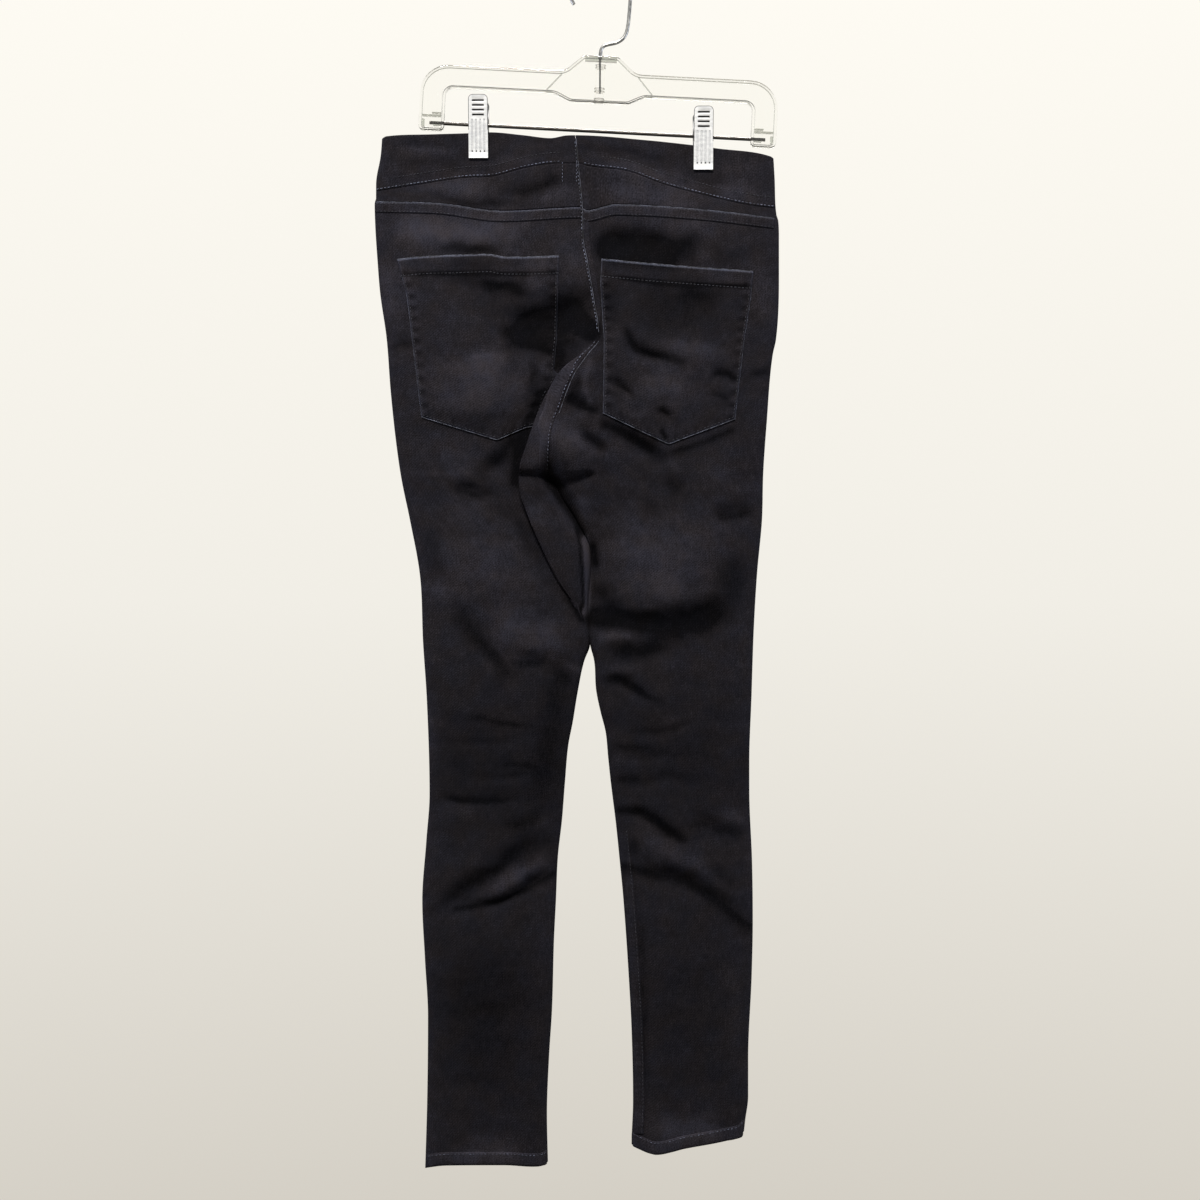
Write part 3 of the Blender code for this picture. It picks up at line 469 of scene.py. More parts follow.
# How much lighter or darker the cloth is drawn, as strokes in shares of its tone: partly fading, and partly
# painted shade in hollows, along creases, under edges and lower down the legs, and painted light where the
# cloth faces the light.
BACK_WEAR_AND_PAINTED_LIGHT = (
    # The waistband and the yoke.
    soft(0.14, 3, (-188, 172), (-150, 170), (-125, 174)),
    soft(-0.16, 4, (-190, 184), (-150, 181), (-110, 186)),
    soft(0.10, 4, (-120, 188), (-80, 180), (-45, 176)),
    soft(-0.10, 3, (-12, 172), (40, 182), (90, 196), (150, 208)),
    soft(0.20, 9, (96, 202), (150, 212)),
    soft(0.22, 9, (-8, 184), (50, 192), (96, 204)),
    soft(0.14, 7, (100, 188), (150, 194)),
    soft(-0.34, 5, (-98, 210), (-70, 205), (-48, 197), (-34, 190)),
    soft(-0.30, 3, (-160, 211), (-110, 217), (-60, 218)),
    soft(0.22, 7, (-176, 208), (-120, 202), (-96, 200)),
    soft(0.16, 6, (-60, 210), (-20, 206)),
    soft(0.22, 9, (-8, 206), (40, 210), (110, 218)),
    # The seat above the pockets, with painted shade in the troughs along the pockets' mouths.
    soft(0.40, 14, (-196, 236), (-140, 242), (-30, 238)),
    soft(0.16, 16, (-186, 262), (-184, 330)),
    soft(0.12, 14, (-58, 248), (-26, 262), (-24, 292)),
    soft(0.14, 8, (0, 234), (60, 236), (140, 244)),
    soft(0.10, 12, (142, 262), (146, 330)),
    soft(-0.20, 8, (92, 260), (132, 264)),
    soft(-0.42, 4.6, (-150, 261), (-122, 258), (-98, 256), (-84, 261)),
    firm(-0.72, 11.0, (6, 255), (28, 257), (52, 257), flat=2.4),
    firm(-0.56, 6.0, (6, 264), (34, 268), (62, 271)),
    soft(-0.50, 9, (40, 254), (64, 255), (96, 250)),
    soft(-0.26, 7, (56, 264), (90, 268)),
    # The hollow that the fold of spare cloth starts from, darkened with painted shade.
    firm(-0.92, 9.0, (-66, 323), (-44, 319), (-22, 320), (-7, 329), lean=-0.4, flat=3.0),
    soft(-0.70, 9, (-46, 306), (-14, 312)),
    soft(-0.40, 14, (-74, 332), (-30, 330)),
    soft(-0.62, 6, (-92, 334), (-56, 331)),
    soft(-0.50, 6, (-92, 345), (-64, 343), (-26, 346)),
    soft(-0.34, 8, (-60, 338), (-8, 340)),
    firm(0.14, 2.2, (-32, 334), (-22, 337), (-12, 341)),
    soft(0.20, 3.0, (-58, 340), (-40, 345)),
    firm(-0.44, 6, (-36, 352), (-37, 366)),
    soft(-0.34, 7, (-61, 354), (-59, 374), (-64, 398), lean=0.9),
    soft(-0.36, 5, (-50, 386), (-56, 402)),
    soft(0.22, 4.5, (-57, 362), (-43, 366)),
    # The fold of spare cloth, and what lies on both sides of it: painted light on its strip, and painted
    # shadow beside and under its edges and under the crotch.
    firm(0.20, 4.2, (-10, 346), (-22, 360), (-33, 378)),
    firm(0.22, 6.5, (-40, 388), (-50, 412), (-57, 446)),
    firm(0.16, 2.4, (-66, 430), (-70, 450)),
    soft(0.16, 6, (-60, 482), (-48, 506)),
    firm(-0.50, 3.4, (-46, 380), (-60, 402), (-69, 424), (-75, 444), (-77, 466)),
    soft(-0.46, 8, (-66, 416), (-82, 436), (-100, 456)),
    firm(-0.9, 2.0, (-75, 466), (-66, 495), (-52, 526), (-37, 556), (-18, 588)),
    soft(-0.20, 6, (-76, 484), (-66, 512), (-46, 545)),
    firm(0.26, 3.0, (-10, 358), (-14, 378), (-9, 394)),
    firm(-0.34, 5, (-20, 378), (-27, 391)),
    firm(-0.55, 3.6, (-26, 394), (-16, 398), (-6, 402), lean=0.6),
    soft(0.16, 13, (-32, 412), (-26, 440), flat=3.0),
    soft(0.10, 10, (-6, 410), (10, 444)),
    soft(-0.40, 3.4, (-17, 417), (-4, 428), (10, 437)),
    soft(-0.12, 4.6, (-78, 457), (-46, 464), (-28, 465), (-4, 456)),
    firm(-0.5, 3.4, (-43, 469), (-36, 480), (-25, 495), (-15, 512)),
    soft(-0.20, 7, (-62, 470), (-40, 474)),
    soft(0.30, 7, (-18, 478), (-9, 494)),
    firm(-0.7, 3.0, (-6, 522), (-4, 538)),
    # The left leg's inner edge, which turns to the light between the legs: painted light on it, and a
    # painted shadow beside it.
    firm(0.75, 3.0, (-13, 514), (-11.5, 534), (-11, 556), (-12, 582)),
    firm(-0.8, 1.1, (-21, 507), (-17.5, 525), (-16, 545), (-15, 568), (-14.5, 590)),
    # Under the right pocket: painted shade in the creases below its foot, and lighter ridges.
    firm(-0.56, 4.6, (4, 415), (20, 421), (44, 436), lean=0.4),
    firm(-0.40, 3.0, (66, 438), (90, 431), (118, 419)),
    soft(0.18, 5, (54, 438), (66, 452), (72, 462)),
    soft(-0.30, 6, (56, 461), (74, 475)),
    soft(-0.14, 7, (50, 478), (42, 502)),
    soft(0.10, 14, (100, 452), (110, 470)),
    soft(-0.38, 4.6, (94, 497), (118, 496), (141, 487)),
    soft(-0.34, 4.4, (130, 369), (152, 366)),
    # The thighs: faded lighter, with painted shade in their creases.
    soft(0.12, 17, (-150, 440), (-104, 446)),
    soft(-0.32, 3.6, (-138, 475), (-110, 478), (-84, 476)),
    soft(-0.26, 3.4, (-126, 470), (-108, 468)),
    soft(0.10, 12, (-132, 490), (-100, 494)),
    soft(-0.16, 8, (-150, 500), (-146, 560)),
    soft(0.06, 20, (-108, 530), (-74, 540)),
    soft(0.20, 8, (-152, 556), (-138, 568)),
    soft(0.24, 17, (-104, 586), (-68, 600), (-22, 604), flat=3.0),
    soft(-0.30, 7, (-132, 568), (-110, 603), (-88, 628), (-74, 650), lean=-0.8),
    soft(0.16, 3.6, (-124, 602), (-104, 624), (-92, 642)),
    soft(-0.30, 4.6, (-84, 628), (-44, 626)),
    firm(0.26, 3.4, (-44, 622), (-18, 633)),
    soft(-0.30, 6, (-48, 636), (-22, 644)),
    soft(0.12, 20, (28, 515), (58, 548)),
    soft(0.16, 11, (30, 560), (62, 566), (78, 556), lean=0.8),
    soft(-0.40, 8, (-2, 546), (6, 570), (24, 574)),
    firm(-0.66, 9.0, (-4, 585), (24, 588), (48, 589), flat=3.0),
    soft(-0.56, 12, (40, 599), (70, 594), (96, 584), (116, 566)),
    soft(-0.26, 13, (114, 570), (124, 528)),
    soft(-0.44, 9, (-2, 621), (36, 615), (66, 604)),
    firm(0.24, 5.0, (2, 603), (26, 603)),
    soft(-0.16, 15, (118, 520), (112, 590)),
    # The knees: darker partly in dye and partly as painted shade, with painted shade in their creases.
    soft(-0.22, 60, (-140, 700), (-70, 735)),
    soft(-0.18, 58, (20, 690), (110, 720)),
    soft(-0.22, 13, (-34, 610), (-41, 660), (-48, 710), (-64, 785)),
    soft(0.16, 7, (-150, 650), (-146, 724)),
    soft(-0.28, 2.6, (-124, 674), (-96, 678), (-40, 683)),
    soft(-0.24, 3.0, (-92, 716), (-48, 718)),
    soft(-0.36, 2.4, (-148, 744), (-112, 749), (-58, 750)),
    soft(0.16, 6, (-146, 756), (-104, 759)),
    soft(-0.24, 6, (-50, 752), (-66, 770), (-92, 766)),
    soft(0.14, 5, (-62, 772), (-44, 764)),
    soft(-0.44, 3.4, (-8, 641), (22, 647), (40, 656), (62, 662)),
    soft(0.14, 5, (44, 678), (92, 674)),
    soft(-0.26, 4, (6, 702), (52, 700)),
    soft(0.18, 5, (10, 714), (40, 712)),
    soft(-0.34, 3.4, (10, 729), (38, 726)),
    soft(0.08, 9, (12, 746), (60, 748)),
    # The calves: painted shade along their creases and painted light on their ridges.
    soft(-0.34, 8, (-36, 778), (-60, 792), (-90, 808), (-120, 828), (-154, 850)),
    soft(0.20, 7, (-122, 834), (-90, 824), (-64, 814), (-36, 801), lean=0.6),
    firm(-0.38, 2.8, (-128, 845), (-102, 841), (-72, 831), (-40, 813), lean=-0.4),
    soft(0.12, 6, (-140, 856), (-108, 852)),
    firm(-0.48, 4.0, (18, 758), (36, 760), (54, 770), (72, 784), lean=0.4),
    firm(-0.42, 5.0, (22, 807), (50, 815), (80, 822), (106, 840), (132, 860), lean=-0.5),
    soft(-0.30, 5, (70, 766), (106, 776), (134, 779)),
    soft(0.20, 7, (106, 762), (132, 763)),
    soft(-0.24, 6, (98, 804), (124, 830)),
    soft(-0.30, 4, (28, 778), (30, 800)),
    # The shins: darker partly in dye and partly as painted shade, and faded lighter above the hems.
    soft(-0.20, 56, (-110, 890), (-100, 1000)),
    soft(-0.14, 56, (80, 890), (80, 990)),
    soft(-0.20, 3.4, (35, 836), (38, 900), (44, 1040)),
    soft(0.10, 8, (118, 880), (122, 1000)),
    soft(-0.10, 40, (-100, 880), (-98, 960)),
    soft(0.22, 12, (-140, 1060), (-60, 1062)),
    soft(0.30, 12, (36, 1044), (118, 1038)),
)
# The front's thighs faded lighter, and its shins darker, partly in dye and partly as painted shade.
FRONT_WEAR_AND_PAINTED_LIGHT = (
    soft(0.14, 40, (-110, 450), (-95, 640)),
    soft(0.14, 40, (75, 450), (70, 640)),
    soft(-0.16, 80, (-110, 900), (80, 900)),
)
WEAR_AND_PAINTED_LIGHT = {Face.BACK: BACK_WEAR_AND_PAINTED_LIGHT, Face.FRONT: FRONT_WEAR_AND_PAINTED_LIGHT}
# The pockets' fading, with painted shade along their hems and in their creases and painted light on their
# bulges.
POCKET_WEAR_AND_PAINTED_LIGHT = (
    # The left pocket.
    soft(0.16, 6, (-74, 272), (-40, 272)),
    soft(-0.20, 7, (-140, 271), (-84, 271)),
    soft(-0.16, 14, (-112, 300), (-66, 308)),
    firm(-0.34, 2.0, (-160, 281), (-120, 281), (-64, 281)),
    soft(-0.46, 4.8, (-116, 283), (-94, 290), (-74, 295), (-50, 300)),
    soft(0.18, 5.5, (-72, 285), (-44, 290)),
    soft(0.06, 18, (-146, 320), (-116, 320)),
    soft(0.22, 10, (-126, 358), (-98, 356), (-78, 358), lean=-0.9),
    soft(0.12, 20, (-128, 384), (-84, 384), flat=3.0),
    soft(-0.10, 6, (-140, 408), (-90, 420)),
    # The right pocket.
    soft(-0.26, 27, (22, 304), (114, 314), flat=3.0),
    firm(-0.36, 2.0, (18, 284), (60, 290), (128, 291)),
    soft(-0.20, 8, (60, 297), (112, 301)),
    soft(-0.20, 6, (4, 282), (10, 330)),
    soft(0.12, 5, (84, 281), (130, 284)),
    firm(-0.44, 4.0, (24, 332), (31, 346), (48, 352), (72, 358)),
    soft(0.22, 8, (42, 344), (80, 346), (116, 350), lean=-0.8),
    soft(0.12, 15, (14, 384), (60, 374), (98, 380)),
    soft(-0.42, 4.4, (96, 366), (126, 371)),
    soft(-0.32, 3.4, (98, 384), (118, 391)),
    soft(-0.36, 2.8, (6, 377), (22, 382), (38, 393)),
    soft(-0.38, 3.4, (50, 398), (60, 404)),
    soft(-0.42, 2.6, (52, 416), (61, 427)),
    soft(0.16, 5, (12, 396), (42, 408)),
)


# How much the folds are deepened so that they shade as the real ones do, and how much a millimetre of fold
# lightens the cloth on its ridges and darkens it in its hollows, partly as fading and partly as painted
# light and shade.
# Normals are taken over a short step, in millimetres.
FOLD_SCALE = 1.3
WEAR_AND_SHADE_PER_MM = 0.05
NORMAL_STEP = 0.5


@dataclass(frozen=True)
class Garment:
    """The form that the jeans' cloth hangs in, worked out from its own sizes in millimetres."""

    seam_gap: float = 0.3
    seam_closes: float = 14.0
    front_seam_closes: float = 70.0
    waist_slope: float = 0.051
    crotch: float = 458.4
    crotch_round: float = 30.0
    body_roundness: float = 3.0
    leg_roundness: float = 2.3
    clips: Pair = (-107.9, 91.7)
    pinch: float = 3.0
    pinch_bottom: float = 188.0
    pinch_half_width: float = 13.0
    pinch_fade: float = 40.0
    inseam_ease: float = 14.0
    flap_fade: float = 75.0
    flap_end: float = 45.0
    fold_reach: float = 8.0
    fold_pull: float = 5.4
    fold_rise_share: float = 0.4
    fold_full: float = 3.0
    least_room: float = 0.5
    calm_ease: float = 1.3
    ripple: float = 0.42
    # The tables are read at the depth of the garment's edges. What stands nearer to the photograph's eye
    # looks a little larger there, so it is drawn in towards the middle of the view by as much.
    eye_distance: float = 1483.0
    eye_drop: float = 570.5

    def outer(self, side: Side, drop: Array) -> Array:
        """The x of the outseam at each drop."""
        return OUTSEAM[side].at(drop)

    def inner(self, side: Side, face: Face, drop: Array) -> Array:
        """Finds where a panel ends on the inside, which is the centre seam and then the inseam.

        Args:
            side: The half of the garment.
            face: Its back or front.
            drop: The drops to find it at.

        Returns:
            The edge's x at each drop.
        """
        closes = self.seam_closes if face is Face.BACK else self.front_seam_closes
        meeting = np.clip((self.crotch - closes - drop) / closes, -1, 1)
        seam = SEAM[face].at(drop) + side.value * meeting * self.seam_gap / 2
        return np.where(drop < self.crotch, seam, INSEAM[side].at(drop))

    def leg_share(self, drop: Array) -> Array:
        """0 where both legs share one seat, 1 from the crotch down, and round in between."""
        part = np.clip((drop - self.crotch + self.crotch_round) / self.crotch_round, 0, 1)
        return 1 - np.sqrt(1 - part * part)

    def rounded(self, across: Array, roundness: float) -> Array:
        """The bulge of a flattened tube, 0 at both edges and 1 along the middle."""
        return np.maximum(0.0, 1 - np.abs(2 * across - 1) ** roundness) ** (1 / roundness)

    def pinched(self, x: Array, below: Array) -> Array:
        """How strongly the clips press the waist together, from 0 to 1."""
        down = 1 - ease((below - self.pinch_bottom) / self.pinch_fade)
        nearest = np.minimum(*(np.abs(x - clip) for clip in self.clips))
        return down * (1 - ease((nearest - self.pinch_half_width) / self.pinch_fade))

    def flap(self, side: Side, x: Array, drop: Array) -> tuple[Array, Array]:
        """The fold of spare cloth beside the centre seam.

        Args:
            side: Which half of the back the places are on.
            x: The places' x in millimetres.
            drop: Their drops.

        Returns:
            How far the cloth is lifted, and how far it is drawn sideways to lie over itself.
        """
        height = FLAP_RISE.at(drop) * ((drop > FLAP_EDGE.places[0]) & (drop < FLAP_EDGE.places[-1]))
        inner = self.inner(side, Face.BACK, drop)
        blend = self.leg_share(drop)
        edge = 1 - blend + blend * ease(np.abs(x - inner) / self.inseam_ease)
        if side is Side.RIGHT:
            ending = 1 - ease((drop - self.crotch) / self.flap_end)
            lift = height * edge * ending * (1 - ease(np.abs(x - inner) / self.flap_fade))
            return lift, np.zeros_like(x)
        fold = FLAP_EDGE.at(drop)
        reach = self.fold_reach
        room = np.maximum(inner - fold, self.least_room)
        past = x - fold
        past = np.clip(np.where(past < 0, past, past * reach / np.minimum(room, reach)) / reach, -1, 1)
        pull = self.fold_pull * np.clip(room / reach, 0, 1) * np.clip(height / self.fold_full, 0, 1)
        lift = height * edge * ease((past / self.fold_rise_share + 1) / 2)
        return lift, -pull * np.sin(math.pi * past)

    def place(self, side: Side, face: Face, x: Array, drop: Array) -> Array:
        """Lays places of the cloth in space.

        Args:
            side: The half of the garment.
            face: Its back or front.
            x: The places' x in millimetres.
            drop: Their drops.

        Returns:
            A point in metres for each place.
        """
        x, drop = np.broadcast_arrays(np.asarray(x, float), np.asarray(drop, float))
        below = np.where(drop < self.crotch, drop - self.waist_slope * x, drop)
        pinched = self.pinched(x, below)
        full = DEPTH[face].at(below)
        full += (self.pinch - full) * pinched
        left, right = self.outer(Side.LEFT, drop), self.outer(Side.RIGHT, drop)
        body = self.rounded((x - left) / (right - left), self.body_roundness)
        outer, inner = self.outer(side, drop), self.inner(side, face, drop)
        leg = self.rounded((x - outer) / (inner - outer), self.leg_roundness)
        blend = self.leg_share(drop)
        bulge = (1 - blend) * body + blend * leg
        calm = np.minimum(1, self.calm_ease * bulge) * (1 - pinched)
        depth = full * bulge + FOLD_SCALE * drawn(FOLDS[face], x, drop) * calm
        depth = depth + self.ripples(face, x, drop) * calm
        sway = np.zeros_like(x)
        if face is Face.BACK:
            lift, sway = self.flap(side, x, drop)
            depth = depth + lift
        off = self.seam_gap / 2 + np.maximum(depth, 0)
        smaller = 1 - off / self.eye_distance
        drop = self.eye_drop + (drop - self.eye_drop) * smaller
        return np.stack(((x + sway) * smaller, face.value * off, -drop), -1) * MM

    def ripples(self, face: Face, x: Array, drop: Array) -> Array:
        """The small unevenness of cloth that has been worn, as a height at each place."""
        slow, quick = RIPPLES[face.value]
        return self.ripple * (slow.at(x, drop) + quick.at(x, drop) / 2)

    def lay(
        self, side: Side, face: Face, x: Array, drop: Array, lift: Array | float
    ) -> Array:
        """Lays places over the cloth, a lift in millimetres off it along its own normal.

        Args:
            side: The half of the garment.
            face: Its back or front.
            x: The places' x in millimetres.
            drop: Their drops.
            lift: How far off the cloth each lies.

        Returns:
            A point in metres for each place.
        """
        x, drop = np.broadcast_arrays(np.asarray(x, float), np.asarray(drop, float))
        base = self.place(side, face, x, drop)
        across, down = (
            self.place(side, face, x + over, drop + under) - self.place(side, face, x - over, drop - under)
            for over, under in ((NORMAL_STEP, 0.0), (0.0, NORMAL_STEP))
        )
        normal = -face.value * np.cross(down, across)
        normal /= np.maximum(np.linalg.norm(normal, axis=-1, keepdims=True), 1e-12)
        return base + normal * np.asarray(lift)[..., None] * MM


@dataclass(frozen=True)
class Weave:
    """What a stretch of cloth is made of: its points, and what its finish reads at each of them."""

    points: Array
    wear: Array
    rub: Array | None = None


def sheet_object(
    name: str, columns: int, rows: int, form: Callable[[Array, Array], Weave], face: Face,
    wall: float,
) -> Object:
    """Makes a stretch of cloth from an even grid.

    Args:
        name: The piece's name.
        columns: How many cells it has across.
        rows: How many it has down.
        form: Gives the cloth for shares across (0 at low x) and down (0 at the top).
        face: The way that its right side faces.
        wall: Its thickness in millimetres, which goes inwards.

    Returns:
        The piece, with a live wall.
    """
    shape = bmesh.new()
    bmesh.ops.create_grid(shape, x_segments=columns, y_segments=rows, size=0.5)
    flat = np.array([vert.co for vert in shape.verts])
    order = np.lexsort((flat[:, 0].round(6), -flat[:, 1].round(6)))
    shares = flat[order].reshape(rows + 1, columns + 1, 3)
    made = form(shares[..., 0] + 0.5, 0.5 - shares[..., 1])
    verts = list(shape.verts)
    for index, point in zip(order, made.points.reshape(-1, 3)):
        verts[index].co = point
    if face is Face.FRONT:
        bmesh.ops.reverse_faces(shape, faces=shape.faces)
    mesh = mesh_from(name, shape)
    steps = np.linalg.norm(np.diff(made.points, axis=1), axis=-1)
    across = np.concatenate((np.zeros((rows + 1, 1)), steps.cumsum(1)), 1)
    across -= across[:, columns // 2][:, None]
    falls = np.linalg.norm(np.diff(made.points[:, columns // 2], axis=0), axis=-1)
    down = np.concatenate(([0.0], falls.cumsum()))[:, None] + np.zeros_like(across)
    weave = np.stack((across, down, np.zeros_like(across)), -1)
    back = np.argsort(order)
    put(mesh, "weave", "FLOAT_VECTOR", weave.reshape(-1, 3)[back])
    put(mesh, "wear", "FLOAT", made.wear.ravel()[back])
    rub = np.zeros_like(made.wear) if made.rub is None else made.rub
    put(mesh, "rub", "FLOAT", rub.ravel()[back])
    piece = piece_from(name, mesh)
    if wall > 0:
        solid = piece.modifiers.new("wall", "SOLIDIFY")
        solid.thickness = wall * MM
        solid.offset = -1.0
    return piece


def put(mesh: Mesh, name: str, kind: str, values: Array) -> None:
    """Stores a value for each vertex, which a finish reads by its name."""
    part = "vector" if kind == "FLOAT_VECTOR" else "value"
    mesh.attributes.new(name, kind, "POINT").data.foreach_set(part, values.astype(np.float32).ravel())


def mesh_from(name: str, shape: BMesh) -> Mesh:
    """Turns a finished bmesh into a smooth mesh.

    Args:
        name: The mesh's name.
        shape: The bmesh, which is used up.

    Returns:
        The mesh.
    """
    mesh = bpy.data.meshes.new(name)
    shape.to_mesh(mesh)
    shape.free()
    mesh.shade_smooth()
    return mesh


def piece_from(name: str, mesh: Mesh) -> Object:
    """Puts a mesh in the scene as a piece at the origin."""
    piece = bpy.data.objects.new(name, mesh)
    bpy.context.scene.collection.objects.link(piece)
    return piece


def finish_piece(
    piece: Object, finish: Material, replaces: Sequence[str] = ()
) -> Object:
    """Gives a piece its finish, its body and the nodes that it stands for.

    Args:
        piece: The piece.
        finish: Its material.
        replaces: The CAD nodes that it replaces.

    Returns:
        The same piece.
    """
    piece.data.materials.append(finish)
    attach(piece, BODY)
    if replaces:
        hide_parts(*replaces)
    LOG.info("%s: %d faces", piece.name, len(piece.data.polygons))
    return piece


# The flattened section that cloth is spaced round: its steps, its depth as a share of its width, and its
# roundness. Drops and places across depend on each other, and settle after a few rounds.
SECTION_STEPS = 400
SECTION_DEPTH = 0.085
SECTION_ROUNDNESS = 2.7
SETTLING_STEPS = 5
# How near the fold of spare cloth may come to a panel's edges, in shares and in zone widths.
FOLD_MARGIN = 0.1
FOLD_ROOM = 1.2
FOLD_END_ROOM = 1.05


def section_places() -> tuple[Array, Array]:
    """Finds places across a flattened tube that are evenly spaced round its section.

    Returns:
        Even shares of the way round, and the share across the tube at each.
    """
    across = (1 - np.cos(math.pi * np.arange(SECTION_STEPS + 1) / SECTION_STEPS)) / 2
    rise = SECTION_DEPTH * (1 - np.abs(2 * across - 1) ** SECTION_ROUNDNESS) ** (1 / SECTION_ROUNDNESS)
    steps = np.hypot(np.diff(across), np.diff(rise))
    return np.concatenate(([0.0], steps.cumsum())) / steps.sum(), across


@dataclass(frozen=True)
class Panel:
    """One cut piece of cloth, which runs from a top seam to a bottom seam or hem."""

    name: str
    face: Face
    sides: tuple[Side, ...]
    top: Reading
    bottom: Reading
    columns: int
    rows: int
    wall: float
    top_gap: float = 0.0
    along_fold: bool = False
    fold_zone: float = 9.0
    fold_columns: float = 0.3

    def edges(self, garment: Garment, drop: Array) -> tuple[Array, Array]:
        """Finds the panel's two edges.

        Args:
            garment: The form that it hangs in.
            drop: The drops to find them at.

        Returns:
            The x of each, the low one first.
        """
        if len(self.sides) == 2:
            return garment.outer(Side.LEFT, drop), garment.outer(Side.RIGHT, drop)
        side = self.sides[0]
        pair = garment.outer(side, drop), garment.inner(side, self.face, drop)
        return pair if side is Side.LEFT else pair[::-1]

    def across(self, garment: Garment, share: Array, drop: Array) -> Array:
        """Spaces the panel's columns, closer at its round edges and along the fold of spare cloth.

        Args:
            garment: The form that it hangs in.
            share: Even shares of the way across.
            drop: The drop of each.

        Returns:
            The shares across to use.
        """
        even, places = section_places()
        if not self.along_fold:
            return np.interp(share, even, places)
        low, high = self.edges(garment, drop)
        half = self.fold_zone / (high - low)
        fold = np.clip((FLAP_EDGE.at(drop) - low) / (high - low), FOLD_MARGIN, 1 - FOLD_ROOM * half)
        fold = np.clip(np.interp(fold, places, even), FOLD_MARGIN, 1 - FOLD_END_ROOM * half)
        first = (1 - self.fold_columns) * (fold - half) / (1 - 2 * half)
        last = first + self.fold_columns
        before = share / first * (fold - half)
        inside = fold - half + (share - first) / self.fold_columns * 2 * half
        after = fold + half + (share - last) / (1 - last) * (1 - fold - half)
        spaced = np.where(share < first, before, np.where(share < last, inside, after))
        return np.interp(spaced, even, places)

    def form(self, garment: Garment, share: Array, down: Array) -> Weave:
        """Works out the panel's cloth.

        Args:
            garment: The form that it hangs in.
            share: Shares of the way across.
            down: Shares of the way down.

        Returns:
            Its points and their tone, faded and with painted light and shade.
        """
        x, drop = np.zeros_like(share), np.full_like(share, self.top.at(0.0))
        for _ in range(SETTLING_STEPS):
            start = self.top.at(x) + self.top_gap
            drop = start + down * (self.bottom.at(x) - start)
            low, high = self.edges(garment, drop)
            x = low + self.across(garment, share, drop) * (high - low)
        points = garment.place(self.sides[0], self.face, x, drop)
        return Weave(points, wear_at(self.face, x, drop))

    def build(self, garment: Garment) -> Object:
        """Makes the panel."""
        return sheet_object(
            self.name, self.columns, self.rows, lambda u, v: self.form(garment, u, v), self.face, self.wall
        )


# The tone of cloth that is neither faded, nor painted lighter, nor in a hollow's painted shade.
PLAIN_WEAR_AND_LIGHT = 0.5


def wear_at(face: Face, x: Array, drop: Array) -> Array:
    """Works out how faded the cloth is, with the light and shade that are painted into it.

    Args:
        face: The garment's back or front.
        x: The places' x in millimetres.
        drop: Their drops.

    Returns:
        Its tone at each place, from 0 in hollows in painted shade to 1 where it is lightest, faded and in
        painted light.
    """
    streaks = sum(share * unevenness.at(x, drop) for share, unevenness in STREAKS)
    # Folds lighten ridges and darken hollows, partly as fading and partly as painted light and shade.
    folded = WEAR_AND_SHADE_PER_MM * drawn(FOLDS[face], x, drop)
    return np.clip(PLAIN_WEAR_AND_LIGHT + streaks + folded + drawn(WEAR_AND_PAINTED_LIGHT[face], x, drop), 0, 1)


def bell(off: Array, width: float) -> Array:
    """1 where the offset is nought, falling softly to 0 over the width on both sides."""
    return np.exp(-((off / width) ** 2))


def beat(along: Array, sway: float, length: float, pitch: float) -> Array:
    """A beat between 0 and 1 whose pitch drifts a little, as puckers do along a seam."""
    return 0.5 + 0.5 * np.cos(2 * math.pi * (along + sway * np.sin(along / length)) / pitch)


# How much of a pocket's grid is spaced evenly and not closer to its edges, and the steps of its edge lines.
BORDER_EVEN = 0.7
BORDER_STEPS = 60


